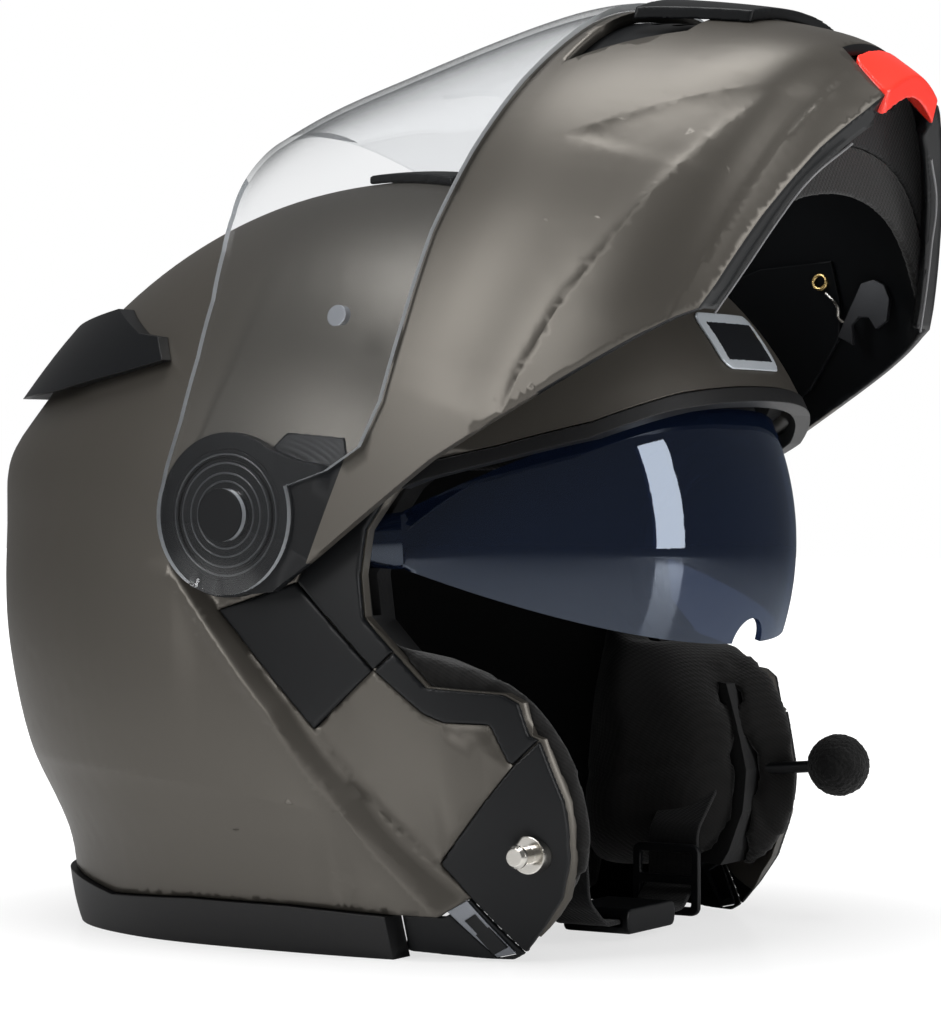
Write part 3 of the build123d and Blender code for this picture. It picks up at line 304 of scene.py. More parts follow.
def cloth_group():
    """Fuzz, threads and colour drift of a cloth."""
    inputs = (
        ("Point", "NodeSocketVector", (0, 0, 0)),
        ("Colour", "NodeSocketColor", (0.5, 0.5, 0.5, 1)),
        ("Thread size", "NodeSocketFloat", 900.0),
        ("Fuzz size", "NodeSocketFloat", 1600.0),
        ("Contrast", "NodeSocketFloat", 0.5),
    )
    outputs = (("Colour", "NodeSocketColor"), ("Height", "NodeSocketFloat"))
    tree, start, end = node_group("Cloth surface", inputs, outputs)
    split = add_node(tree, "ShaderNodeSeparateXYZ", Vector=start.outputs["Point"])
    diagonal = add_node(tree, "ShaderNodeMath", {"operation": "ADD"},
                        i0=split.outputs[0], i1=split.outputs[2])
    other = add_node(tree, "ShaderNodeMath", {"operation": "SUBTRACT"},
                     i0=split.outputs[1], i1=split.outputs[2])
    waves = []
    for source in (diagonal, other):
        phase = add_node(tree, "ShaderNodeMath", {"operation": "MULTIPLY"},
                         i0=source.outputs[0], i1=start.outputs["Thread size"])
        waves.append(add_node(tree, "ShaderNodeMath", {"operation": "SINE"}, i0=phase.outputs[0]))
    crossed = add_node(tree, "ShaderNodeMath", {"operation": "MULTIPLY"},
                       i0=waves[0].outputs[0], i1=waves[1].outputs[0])
    fuzz = add_node(tree, "ShaderNodeTexNoise", Vector=start.outputs["Point"],
                    Scale=start.outputs["Fuzz size"], Detail=3.0, Roughness=0.7)
    height = add_node(tree, "ShaderNodeMath", {"operation": "MULTIPLY_ADD"},
                      i0=crossed.outputs[0], i1=0.35, i2=fuzz.outputs["Fac"])
    centred = add_node(tree, "ShaderNodeMath", {"operation": "SUBTRACT"}, i0=height.outputs[0], i1=0.5)
    amount = add_node(tree, "ShaderNodeMath", {"operation": "MULTIPLY_ADD"},
                      i0=centred.outputs[0], i1=start.outputs["Contrast"], i2=1.0)
    tint = add_node(tree, "ShaderNodeVectorMath", {"operation": "SCALE"},
                    i0=start.outputs["Colour"], Scale=amount.outputs[0])
    tree.links.new(tint.outputs[0], end.inputs["Colour"])
    tree.links.new(height.outputs[0], end.inputs["Height"])
    return tree


def new_material(name):
    """A material with its Principled shader, and its object coordinates."""
    material = bpy.data.materials.new(name)
    material.use_nodes = True
    tree = material.node_tree
    shader = tree.nodes["Principled BSDF"]
    point = add_node(tree, "ShaderNodeTexCoord").outputs["Object"]
    return material, tree, shader, point


def add_bump(tree, shader, height, strength, distance, rounded=True):
    """Relief on a shader's normal, over edges that the shader sees as rounded."""
    bump = add_node(tree, "ShaderNodeBump", Height=height, Strength=strength, Distance=distance)
    if rounded:
        edge = add_node(tree, "ShaderNodeBevel", {"samples": 4}, Radius=sizes().edge_radius)
        tree.links.new(edge.outputs["Normal"], bump.inputs["Normal"])
    tree.links.new(bump.outputs["Normal"], shader.inputs["Normal"])


def moulded(name, colour, roughness, metallic=0.0, drift=0.12, roughness_drift=0.08, grain=900.0,
            patch=18.0, relief=0.15, depth=0.00015, coat=0.0, coat_roughness=0.1, specular=0.5,
            rounded=True):
    """A painted, cast or moulded material."""
    material, tree, shader, point = new_material(name)
    surface = add_node(tree, "ShaderNodeGroup", {"node_tree": bpy.data.node_groups["Moulded surface"]},
                       Point=point, Colour=(*colour, 1), Drift=drift, Roughness=roughness,
                       Roughness_drift=roughness_drift, Grain_size=grain, Patch_size=patch)
    tree.links.new(surface.outputs["Colour"], shader.inputs["Base Color"])
    tree.links.new(surface.outputs["Roughness"], shader.inputs["Roughness"])
    shader.inputs["Metallic"].default_value = metallic
    shader.inputs["Coat Weight"].default_value = coat
    shader.inputs["Coat Roughness"].default_value = coat_roughness
    shader.inputs["Specular IOR Level"].default_value = specular
    add_bump(tree, shader, surface.outputs["Height"], relief, depth, rounded)
    return material


def cloth(name, colour, thread=900.0, fuzz=1600.0, contrast=0.6, relief=0.5, depth=0.0004, sheen=0.4,
          roughness=0.95):
    """A woven or brushed cloth."""
    material, tree, shader, point = new_material(name)
    surface = add_node(tree, "ShaderNodeGroup", {"node_tree": bpy.data.node_groups["Cloth surface"]},
                       Point=point, Colour=(*colour, 1), Thread_size=thread, Fuzz_size=fuzz,
                       Contrast=contrast)
    tree.links.new(surface.outputs["Colour"], shader.inputs["Base Color"])
    shader.inputs["Roughness"].default_value = roughness
    shader.inputs["Sheen Weight"].default_value = sheen
    shader.inputs["Sheen Roughness"].default_value = 0.5
    shader.inputs["Specular IOR Level"].default_value = 0.2
    add_bump(tree, shader, surface.outputs["Height"], relief, depth, rounded=False)
    return material


def clear(name, tint, edge_tint, shine, shadow_pass, edge_share=0.0, mirror_tint=(1, 1, 1)):
    """A thin see-through moulding, darker towards its edges, with a glossy skin."""
    material, tree, shader, point = new_material(name)
    smear = add_node(tree, "ShaderNodeTexNoise", Vector=point, Scale=30.0, Detail=3.0)
    rough = add_node(tree, "ShaderNodeMath", {"operation": "MULTIPLY_ADD"},
                     i0=smear.outputs["Fac"], i1=0.02, i2=0.01)
    tree.links.new(rough.outputs[0], shader.inputs["Roughness"])
    shader.inputs["Base Color"].default_value = (*edge_tint, 1)
    shader.inputs["Specular IOR Level"].default_value = 0.0
    slant = add_node(tree, "ShaderNodeLayerWeight", Blend=0.5)
    steep = add_node(tree, "ShaderNodeMath", {"operation": "POWER"}, i0=slant.outputs["Facing"], i1=9.0)
    rim = add_node(tree, "ShaderNodeMath", {"operation": "MULTIPLY_ADD"},
                   i0=steep.outputs[0], i1=0.9 - edge_share, i2=edge_share)
    through = add_node(tree, "ShaderNodeBsdfTransparent", Color=(*tint, 1))
    body = add_node(tree, "ShaderNodeMixShader", Fac=rim.outputs[0])
    tree.links.new(through.outputs[0], body.inputs[1])
    tree.links.new(shader.outputs[0], body.inputs[2])
    mirror = add_node(tree, "ShaderNodeBsdfGlossy", Roughness=0.02, Color=(*mirror_tint, 1))
    glance = add_node(tree, "ShaderNodeMath", {"operation": "POWER"}, i0=slant.outputs["Facing"], i1=5.0)
    sheen = add_node(tree, "ShaderNodeMath", {"operation": "MULTIPLY_ADD"},
                     i0=glance.outputs[0], i1=0.6, i2=shine)
    glossed = add_node(tree, "ShaderNodeMixShader", Fac=sheen.outputs[0])
    tree.links.new(body.outputs[0], glossed.inputs[1])
    tree.links.new(mirror.outputs[0], glossed.inputs[2])
    light = add_node(tree, "ShaderNodeLightPath")
    passing = add_node(tree, "ShaderNodeBsdfTransparent", Color=(*shadow_pass, 1))
    mixed = add_node(tree, "ShaderNodeMixShader", Fac=light.outputs["Is Shadow Ray"])
    tree.links.new(glossed.outputs[0], mixed.inputs[1])
    tree.links.new(passing.outputs[0], mixed.inputs[2])
    tree.links.new(mixed.outputs[0], tree.nodes["Material Output"].inputs["Surface"])
    return material


def make_materials():
    """Every finish of the helmet, by the name of its slot in the record or of its own."""
    moulded_group()
    cloth_group()
    look = finish()
    return {
        "shell_paint": moulded("Shell paint", look.paint, 0.40, metallic=0.6, drift=0.10, grain=5200,
                               roughness_drift=0.06, relief=0.05, depth=0.00003, specular=0.5),
        "trim_black": moulded("Black trim", look.trim, 0.36, drift=0.3, grain=2600, relief=0.2,
                              depth=0.00005, specular=0.2),
        "inlay_metal": moulded("Inlay metal", (0.20, 0.21, 0.23), 0.36, metallic=1.0, grain=1200),
        "steel": moulded("Polished steel", (0.60, 0.58, 0.54), 0.16, metallic=1.0, relief=0.05),
        "dark_steel": moulded("Blackened steel", (0.030, 0.031, 0.034), 0.34, metallic=0.6,
                              relief=0.08),
        "rubber_black": moulded("Rubber", (0.005, 0.005, 0.0055), 0.45, grain=1100, relief=0.3,
                                specular=0.3),
        "foam_black": moulded("Foam beads", (0.0045, 0.0045, 0.005), 0.85, grain=260, relief=0.6,
                              depth=0.0005),
        "lining": cloth("Brushed lining", look.lining, thread=2300, fuzz=2100, contrast=0.9,
                        sheen=0.16),
        "mesh_cloth": cloth("Mesh cloth", (0.007, 0.007, 0.0075), thread=2600, contrast=1.5,
                            sheen=0.1),
        "webbing": cloth("Webbing", (0.008, 0.008, 0.0085), thread=3200, contrast=0.9, sheen=0.1,
                         roughness=0.7),
        "foam_ball": cloth("Open foam", (0.0045, 0.0045, 0.0045), thread=300, fuzz=1300,
                           contrast=1.2, relief=0.9, depth=0.0006, sheen=0.1),
        "clear_visor": clear("Clear visor", (0.965, 0.97, 0.975), (0.10, 0.11, 0.115), 0.035,
                             (0.92, 0.93, 0.94)),
        "stud": moulded("Stud", (0.30, 0.31, 0.33), 0.12, metallic=0.3, coat=1.0),
        "dark_visor": clear("Smoked visor", (0.16, 0.20, 0.30), look.smoke, 0.05,
                            (0.12, 0.13, 0.16), 0.45, (0.75, 0.85, 1.0)),
        "red_plastic": moulded("Red plastic", look.release, 0.26, drift=0.06, relief=0.05),
        "badge_plate": moulded("Badge rim", (0.55, 0.59, 0.63), 0.30, metallic=0.35, drift=0.1),
        "badge_field": moulded("Badge field", (0.012, 0.013, 0.015), 0.22, coat=0.6),
        "gold": moulded("Brass", (0.55, 0.40, 0.17), 0.25, metallic=1.0),
        "ring_grey": moulded("Ratchet rings", (0.035, 0.037, 0.040), 0.3, coat=0.4),
        "visor_edge": moulded("Visor edge", (0.42, 0.44, 0.46), 0.12, coat=1.0, rounded=False),
        # Painted highlight: a light grey for the tube along the chin bar rim's edge
        "edge_highlight": moulded("Painted edge highlight", (0.16, 0.16, 0.165), 0.4),
        "thread": moulded("Thread", (0.05, 0.05, 0.052), 0.8, grain=3000),
    }


MATERIALS = {}


# Mesh helpers

def new_piece(name, data):
    """An object in the scene that shows a mesh, or holds a lamp or a lens."""
    piece = bpy.data.objects.new(name, data)
    bpy.context.scene.collection.objects.link(piece)
    return piece


def new_mesh(name, shape):
    """A mesh made from a shape under edit, which ends there."""
    mesh = bpy.data.meshes.new(name)
    shape.to_mesh(mesh)
    shape.free()
    return mesh


def shape_of(mesh):
    """A shape under edit that starts from a mesh."""
    shape = bmesh.new()
    shape.from_mesh(mesh)
    return shape


def split_wide_faces(shape):
    """Cut every face of more than three corners into triangles."""
    bmesh.ops.triangulate(shape, faces=[face for face in shape.faces if len(face.verts) > 3])


def merged_copy(node, name):
    """A copy of a construction node's mesh with its loose triangles joined."""
    mesh = frame["nodes"][node].data.copy()
    mesh.name = name
    shape = shape_of(mesh)
    bmesh.ops.remove_doubles(shape, verts=shape.verts, dist=MM / 200)
    shape.to_mesh(mesh)
    shape.free()
    return new_piece(name, mesh)


def settle(piece, body, slot, *nodes, material=None):
    """Give a finished piece its material, picked by its slot unless one is given, hang it on its body, and hide
    the nodes it stands for.
    """
    piece.data.materials.clear()
    piece.data.materials.append(material or MATERIALS[slot])
    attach(piece, body)
    if nodes:
        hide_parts(*nodes)
    return piece


def apply_modifiers(piece):
    """The piece's mesh as its modifiers leave it, with the modifiers gone."""
    graph = bpy.context.evaluated_depsgraph_get()
    mesh = bpy.data.meshes.new_from_object(piece.evaluated_get(graph))
    old = piece.data
    piece.modifiers.clear()
    piece.data = mesh
    bpy.data.meshes.remove(old)
    return piece


def shade(piece, angle):
    """Smooth shading, broken at the edges that turn by more than an angle in degrees."""
    piece.data.shade_smooth()
    piece.data.set_sharp_from_angle(angle=math.radians(angle))


def smooth_skin(node, angle=SKIN_ANGLE):
    """A construction node shown with smooth shading, broken only at its sharp edges."""
    piece = merged_copy(node, node + "_skin")
    shade(piece, angle)
    return settle(piece, BODY_OF[node], SLOT_OF[node], node)


def blacken(piece, turn, middle, low):
    """Give the faces that look inwards, and the low faces that look down, the black of the trim."""
    centre = place(middle, 0, 0, turn)
    up = side_frame(turn)[1]
    piece.data.materials.append(MATERIALS["trim_black"])
    for face in piece.data.polygons:
        arm = face.center - centre
        rise = arm.dot(up)
        flat = arm - up * rise
        inward = face.normal.dot(flat.normalized()) < INWARD_LOOK
        down = face.normal.dot(up) < DOWNWARD_LOOK and rise < low * MM
        if inward or down:
            face.material_index = 1
    return piece


def refine(shape, longest, near, turns=5):
    """Split the edges longer than a length, near a test's places, and keep the faces triangles."""
    for turn in range(turns):
        edges = [
            edge for edge in shape.edges
            if edge.calc_length() > longest and (near(edge.verts[0].co) or near(edge.verts[1].co))
        ]
        if not edges:
            return
        bmesh.ops.subdivide_edges(shape, edges=edges, cuts=1)
        split_wide_faces(shape)


def above_line(line, forward, rise):
    """How far a side-view point lies above a line of points, or nothing beyond its ends."""
    for (f0, u0), (f1, u1) in zip(line, line[1:]):
        if f0 <= forward <= f1:
            slope = (u1 - u0) / (f1 - f0)
            return (rise - (u0 + slope * (forward - f0))) / math.hypot(1, slope)
    return None


def side_place(point, turn):
    """The distances forward and up of the ratchet axis of a point, in millimetres."""
    arm = (point - AXIS) / MM
    ahead, up = side_frame(turn)
    return arm.dot(ahead), arm.dot(up)


def side_frame(turn):
    """Unit vectors forward and up in a frame turned up about the ratchet axis."""
    start = place(0, 0, 0, turn)
    return (place(1, 0, 0, turn) - start) / MM, (place(0, 1, 0, turn) - start) / MM


def press_creases(piece, turn, creases, middle):
    """Cut the mesh along each crease line and press the outer skin in on one side of it."""
    shape = shape_of(piece.data)
    lines = [crease[0] for crease in creases]

    def near(point):
        forward, rise = side_place(point, turn)
        gaps = [above_line(line, forward, rise) for line in lines]
        return any(gap is not None and abs(gap) < CREASE_REACH for gap in gaps)

    refine(shape, CREASE_COARSE * MM, near)
    for line in lines:
        for (f0, u0), (f1, u1) in zip(line, line[1:]):
            start = place(f0, u0, 0, turn)
            normal = (place(f1, u1, 0, turn) - start).cross(Vector((1, 0, 0))).normalized()
            faces = []
            for face in shape.faces:
                forward, rise = side_place(face.calc_center_median(), turn)
                gap = above_line(line, forward, rise)
                beside = f0 - CREASE_OVERRUN <= forward <= f1 + CREASE_OVERRUN
                if beside and gap is not None and abs(gap) < CREASE_COARSE:
                    faces.append(face)
            edges = {edge for face in faces for edge in face.edges}
            verts = {vert for face in faces for vert in face.verts}
            bmesh.ops.bisect_plane(shape, geom=[*verts, *edges, *faces], plane_co=start, plane_no=normal)
    split_wide_faces(shape)
    bmesh.ops.remove_doubles(shape, verts=shape.verts, dist=WELD * MM)
    bmesh.ops.dissolve_degenerate(shape, edges=shape.edges, dist=SHORTEST_EDGE * MM)
    refine(shape, CREASE_FINE * MM, near)
    shape.normal_update()
    ahead = side_frame(turn)[0]
    moves = []
    for vertex in shape.verts:
        forward, rise = side_place(vertex.co, turn)
        flat = ahead * (forward - middle) + Vector(((vertex.co.x - AXIS.x) / MM, 0, 0))
        flat.normalize()
        if vertex.normal.dot(flat) < OUTWARD_LOOK:
            continue
        total = 0.0
        for line, side, depth, width in creases:
            gap = above_line(line, forward, rise)
            if gap is None or gap * side <= 0:
                continue
            share = (forward - line[0][0]) / (line[-1][0] - line[0][0])
            ends = min(1, share / CREASE_ENDS, (1 - share) / CREASE_ENDS)
            steep = abs(gap) / width
            total += depth * ends * steep * math.exp(1 - steep)
        if total:
            total = CREASE_LIMIT * (1 - math.exp(-total / CREASE_LIMIT))
            moves.append((vertex, flat * (-total * MM)))
    for vertex, move in moves:
        vertex.co += move
    shape.to_mesh(piece.data)
    shape.free()


def remesh_and_smooth(piece, voxel, steps):
    """Give a piece an even mesh of an edge length, with its corners smoothed."""
    remesh = piece.modifiers.new("Remesh", "REMESH")
    remesh.mode = "VOXEL"
    remesh.voxel_size = voxel
    soft = piece.modifiers.new("Smooth", "SMOOTH")
    soft.factor = 0.5
    soft.iterations = steps
    apply_modifiers(piece)


def rounded_skin(node, voxel, steps):
    """A construction node remeshed finely and smoothed, so that its moulded edges are round."""
    piece = merged_copy(node, node + "_moulding")
    remesh_and_smooth(piece, voxel * MM, steps)
    piece.data.shade_smooth()
    return settle(piece, BODY_OF[node], SLOT_OF[node], node)


def from_curve(name, lines, radius, closed=False, corners=4):
    """A round tube along each line of points, as one mesh."""
    curve = bpy.data.curves.new(name, "CURVE")
    curve.dimensions = "3D"
    curve.bevel_depth = radius
    curve.bevel_resolution = corners
    curve.use_fill_caps = True
    curve.resolution_u = 6
    for line in lines:
        spline = curve.splines.new("BEZIER" if len(line) > 2 else "POLY")
        points = spline.bezier_points if len(line) > 2 else spline.points
        points.add(len(line) - 1)
        for point, spot in zip(points, line):
            point.co = spot if len(line) > 2 else (*spot, 1)
            if len(line) > 2:
                point.handle_left_type = point.handle_right_type = "AUTO"
        spline.use_cyclic_u = closed
    holder = bpy.data.objects.new(name + "_line", curve)
    mesh = bpy.data.meshes.new_from_object(holder)
    bpy.data.objects.remove(holder)
    bpy.data.curves.remove(curve)
    mesh.name = name
    mesh.shade_smooth()
    return new_piece(name, mesh)


def ring(radius, steps, centre, left, turn=0.0):
    """Points round a circle in the side view, about a centre forward and up of the ratchet axis."""
    return [
        place(centre[0] + radius * math.cos(step * math.tau / steps),
              centre[1] + radius * math.sin(step * math.tau / steps), left, turn)
        for step in range(steps)
    ]


def search_tree(mesh):
    """A search tree over a mesh's faces."""
    shape = shape_of(mesh)
    tree = BVHTree.FromBMesh(shape)
    shape.free()
    return tree


def laid_on(tree, points, lift):
    """Points moved on to a surface and lifted off it by a distance."""
    laid = []
    for point in points:
        found, normal, index, gap = tree.find_nearest(point)
        laid.append(found + normal * lift)
    return laid


def dashes(points, length, gap):
    """Short straight pieces along a line of points, like the threads of a seam."""
    pieces = []
    reach = 0.0
    for first, second in zip(points, points[1:]):
        span = (second - first).length
        ahead = (second - first) / max(span, 1e-9)
        while reach + length < span:
            pieces.append((first + ahead * reach, first + ahead * (reach + length)))
            reach += length + gap
        reach = max(0.0, reach - span)
    return pieces


class HELMET_OT_shells(bpy.types.Operator):
    """Show the large shells with smooth shading"""
    bl_idname = "helmet.shells"
    bl_label = "Shells"

    def execute(self, context):
        for node in SMOOTH_NODES:
            smooth_skin(node)
        self.visor_edges()
        smooth_skin("rear_vent", VENT_ANGLE)
        shell = smooth_skin("outer_shell", WHOLE_ANGLE)
        press_creases(shell, 0, SHELL_CREASES, SHELL_MIDDLE)
        shade(shell, CREASED_ANGLE)
        self.chin_bar()
        for side in SIDES:
            hook = smooth_skin("latch_hook_" + side, HOOK_ANGLE)
            hook.data.materials[0] = MATERIALS["dark_steel"]
        return {"FINISHED"}

    def visor_edges(self):
        """Give the cut edges of the clear visor their own look."""
        piece = bpy.data.objects["visor_skin"]
        piece.data.materials.append(MATERIALS["visor_edge"])
        for face in piece.data.polygons:
            corners = [piece.data.vertices[index].co for index in face.vertices]
            longest = max((corners[k] - corners[k - 1]).length for k in range(len(corners)))
            if 2 * face.area / longest < VISOR_EDGE * MM and self.looks_sideways(face):
                face.material_index = 1

    def looks_sideways(self, face):
        """Whether a face of the visor looks along its wall, as the cut edges do."""
        forward, rise = side_place(face.center, OPEN_ANGLE)
        ahead = side_frame(OPEN_ANGLE)[0]
        flat = ahead * (forward - VISOR_MIDDLE) + Vector(((face.center.x - AXIS.x) / MM, 0, 0))
        return abs(face.normal.dot(flat.normalized())) < SIDEWAYS_LOOK

    def chin_bar(self):
        """The chin bar with its side creases, black inside and round the ratchets."""
        piece = smooth_skin("chin_bar_shell", WHOLE_ANGLE)
        shape = shape_of(piece.data)
        edge_low, edge_high = place(*LOBE_EDGE[0]), place(*LOBE_EDGE[1])
        across = (edge_high - edge_low).cross(Vector((1, 0, 0))).normalized()
        whole = [*shape.verts, *shape.edges, *shape.faces]
        bmesh.ops.bisect_plane(shape, geom=whole, plane_co=edge_low, plane_no=across)
        split_wide_faces(shape)
        shape.to_mesh(piece.data)
        shape.free()
        press_creases(piece, OPEN_ANGLE, CHIN_CREASES, CHIN_MIDDLE)
        blacken(piece, OPEN_ANGLE, CHIN_MIDDLE, CHIN_FOOT)
        if across.y > 0:
            across = -across
        for face in piece.data.polygons:
            behind = (face.center - edge_low).dot(across) < 0
            if behind and face.center.z < edge_high.z + LOBE_TOP * MM:
                face.material_index = 1
        shade(piece, CREASED_ANGLE)


class HELMET_OT_mouldings(bpy.types.Operator):
    """Show the small mouldings with rounded edges"""
    bl_idname = "helmet.mouldings"
    bl_label = "Small mouldings"

    def execute(self, context):
        for side in SIDES:
            for title, voxel, steps in SIDE_MOULDINGS:
                rounded_skin(title + side, voxel, steps)
        for node, voxel, steps in MIDDLE_MOULDINGS:
            rounded_skin(node, voxel, steps)
        return {"FINISHED"}


def swell(piece, reach):
    """Blow a pad up like a stuffed cover, by no more than a reach, and leave it still."""
    rest = [vertex.co.copy() for vertex in piece.data.vertices]
    cover = piece.modifiers.new("Cloth", "CLOTH")
    cover.settings.use_pressure = True
    cover.settings.uniform_pressure_force = PAD_PRESSURE
    cover.settings.effector_weights.gravity = 0
    scene = bpy.context.scene
    for step in range(1, PAD_FRAMES + 1):
        scene.frame_set(step)
    apply_modifiers(piece)
    for vertex, home in zip(piece.data.vertices, rest):
        moved = vertex.co - home
        if moved.length > reach:
            vertex.co = home + moved * (reach / moved.length)
    scene.frame_set(1)
    return piece


def soft_skin(node, voxel, steps, reach=0.0, seams=()):
    """A pad made from its construction node: remeshed, softened, swollen and sewn."""
    piece = merged_copy(node, node + "_cover")
    remesh_and_smooth(piece, voxel, steps)
    if reach:
        swell(piece, reach)
    for seam in seams:
        sew(piece, *seam)
    piece.data.shade_smooth()
    return settle(piece, BODY_OF[node], SLOT_OF[node], node)


def sew(piece, point, normal, depth, width):
    """Draw the cover in along the line where a plane meets it."""
    normal = normal.normalized()
    for vertex in piece.data.vertices:
        gap = abs((vertex.co - point).dot(normal))
        if gap < 3 * width:
            pull = math.exp(-((gap / width) ** 2))
            vertex.co -= vertex.normal * (depth * pull)


class HELMET_OT_lining(bpy.types.Operator):
    """Make the crown pad, cheek pads and neck roll"""
    bl_idname = "helmet.lining"
    bl_label = "Comfort lining"

    def execute(self, context):
        voxel = sizes().pad_voxel
        seams = [
            (place(*point), Vector(normal), depth * MM, SEAM_WIDTH * MM)
            for point, normal, depth in CHEEK_SEAMS
        ]
        for side in SIDES:
            soft_skin("cheek_pad_" + side, voxel, 4, sizes().pad_swell, seams)
        soft_skin("crown_pad", 1.4 * voxel, 3)
        soft_skin("neck_roll", 1.2 * voxel, 6, 0.6 * sizes().pad_swell)
        return {"FINISHED"}


class HELMET_OT_straps(bpy.types.Operator):
    """Make the webbing of the chin strap"""
    bl_idname = "helmet.straps"
    bl_label = "Chin strap"

    def execute(self, context):
        for side in SIDES:
            node = "strap_" + side
            piece = merged_copy(node, node + "_webbing")
            soft = piece.modifiers.new("Bevel", "BEVEL")
            soft.width = WEBBING_EDGE * MM
            soft.segments = 2
            soft.limit_method = "ANGLE"
            soft.angle_limit = math.radians(50)
            shade(piece, CREASED_ANGLE)
            settle(piece, BODY_OF[node], SLOT_OF[node], node)
        return {"FINISHED"}


class HELMET_OT_microphone(bpy.types.Operator):
    """Make the foam ball of the microphone"""
    bl_idname = "helmet.microphone"
    bl_label = "Microphone"

    def execute(self, context):
        low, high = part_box("mic_foam")
        centre = (low + high) / 2
        radius = (high.z - low.z) / 2
        shape = bmesh.new()
        bmesh.ops.create_icosphere(shape, subdivisions=6, radius=radius - FOAM_PLAY * MM)
        for vertex in shape.verts:
            bump = sum(noise.noise(vertex.co * scale) * height for scale, height in FOAM_BUMPS)
            vertex.co *= 1 + bump * MM / radius
        bmesh.ops.translate(shape, verts=shape.verts, vec=centre)
        piece = new_piece("mic_foam_ball", new_mesh("mic_foam_ball", shape))
        piece.data.shade_smooth()
        settle(piece, "shell", "foam_ball", "mic_foam")
        return {"FINISHED"}


class HELMET_OT_curtain(bpy.types.Operator):
    """Make the mesh field and the ribbed band at the foot of the chin bar"""
    bl_idname = "helmet.curtain"
    bl_label = "Chin curtain"

    def execute(self, context):
        for node in ("curtain_mesh", "curtain_band"):
            soft_skin(node, CURTAIN_VOXEL * MM, 3)
        return {"FINISHED"}


class HELMET_OT_ratchets(bpy.types.Operator):
    """Make the rings of the two ratchets"""
    bl_idname = "helmet.ratchets"
    bl_label = "Ratchet rings"

    def execute(self, context):
        for side, sign in SIDES.items():
            low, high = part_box("ratchet_base_" + side)
            face = (low.x if sign < 0 else high.x) / MM
            rings = [ring(radius, RING_POINTS, (0, 0), face) for radius in RING_RADII]
            piece = from_curve("ratchet_rings_" + side, rings, RING_WIRE * MM, closed=True, corners=2)
            settle(piece, "shell", "trim_black", material=MATERIALS["ring_grey"])
        return {"FINISHED"}


class HELMET_OT_badge(bpy.types.Operator):
    """Set the badge's dark plain field in its silver rim"""
    bl_idname = "helmet.badge"
    bl_label = "Badge field"

    def execute(self, context):
        piece = bpy.data.objects["badge_moulding"]
        low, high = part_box("badge")
        piece.data.materials.append(MATERIALS["badge_field"])
        middle = (low + high) / 2
        span = high - low
        for face in piece.data.polygons:
            across = abs(face.center.x - middle.x) / (span.x / 2)
            rise = abs(face.center.z - middle.z) / (span.z / 2)
            inside = across < BADGE_FIELD[0] and rise < BADGE_FIELD[1]
            if inside and face.normal.y < BADGE_LOOK:
                face.material_index = 1
        return {"FINISHED"}


class HELMET_OT_inlay_backs(bpy.types.Operator):
    """Close the slots of the metal inlays with dark plates behind them"""
    bl_idname = "helmet.inlay_backs"
    bl_label = "Inlay backs"

    def execute(self, context):
        tree = search_tree(frame["nodes"]["corner_inlays"].data)
        backs = bmesh.new()
        for sign in SIDES.values():
            made = bmesh.ops.create_cube(backs, size=1.0)["verts"]
            first, second, third, fourth = (
                place(f, u, sign * INLAY_REACH) for f, u in SLOT_CORNERS)
            for vertex in made:
                near = first.lerp(second, vertex.co.y + 0.5)
                far = fourth.lerp(third, vertex.co.y + 0.5)
                point = near.lerp(far, vertex.co.z + 0.5)
                found, normal, index, gap = tree.find_nearest(point)
                point.x = found.x - sign * (SLOT_SINK + vertex.co.x) * MM
                vertex.co = point
        bmesh.ops.recalc_face_normals(backs, faces=backs.faces)
        piece = new_piece("inlay_backs", new_mesh("inlay_backs", backs))
        settle(piece, "shell", "trim_black")
        return {"FINISHED"}


class HELMET_OT_seams(bpy.types.Operator):
    """Make the chin curtain's stitches, a light tube that paints the highlight along the rim's edge, the rivets
    and the spring wires
    """
    bl_idname = "helmet.seams"
    bl_label = "Seams"

    def execute(self, context):
        tree = search_tree(bpy.data.objects["curtain_band_cover"].data)
        stitches = []
        for rise in STITCH_RISES:
            line = [
                place(STITCH_FORWARD, rise, step * STITCH_STEP, OPEN_ANGLE)
                for step in range(-STITCH_COUNT, STITCH_COUNT + 1)
            ]
            laid = laid_on(tree, line, STITCH_LIFT * MM)
            stitches.extend(dashes(laid, STITCH_LENGTH * MM, STITCH_GAP * MM))
        rims = []
        rivets = []
        springs = []
        for sign in SIDES.values():
            rims.append([place(f, u, sign * x, OPEN_ANGLE) for x, f, u in RIM_LINE])
            rivets.append(ring(RIVET_RADIUS, RIVET_POINTS, RIVET_PLACE, sign * RIVET_REACH, OPEN_ANGLE))
            springs.append([place(f, u, sign * x, OPEN_ANGLE) for x, f, u in SPRING_LINE])
        # A light-grey tube along the rim's edge, a painted highlight of the light line this edge catches
        edge_highlight = from_curve("rim_edge_highlight", rims, RIM_WIRE * MM, corners=2)
        settle(edge_highlight, "chin_bar", "lining", material=MATERIALS["edge_highlight"])
        rivet = from_curve("rivet_rings", rivets, RIVET_WIRE * MM, closed=True, corners=3)
        settle(rivet, "chin_bar", "steel", material=MATERIALS["gold"])
        spring = from_curve("spring_wires", springs, SPRING_WIRE * MM, corners=3)
        settle(spring, "chin_bar", "steel")
        seam = from_curve("curtain_stitches", stitches, STITCH_WIRE * MM, corners=1)
        settle(seam, "chin_bar", "lining", material=MATERIALS["thread"])
        return {"FINISHED"}


class HELMET_OT_plain_nodes(bpy.types.Operator):
    """Give the construction nodes that stay their finishes"""
    bl_idname = "helmet.plain_nodes"
    bl_label = "Other nodes"

    def execute(self, context):
        for name, node in frame["nodes"].items():
            if not node.hide_render:
                node.data.materials.clear()
                node.data.materials.append(MATERIALS[SLOT_OF[name]])
        return {"FINISHED"}


# Stage

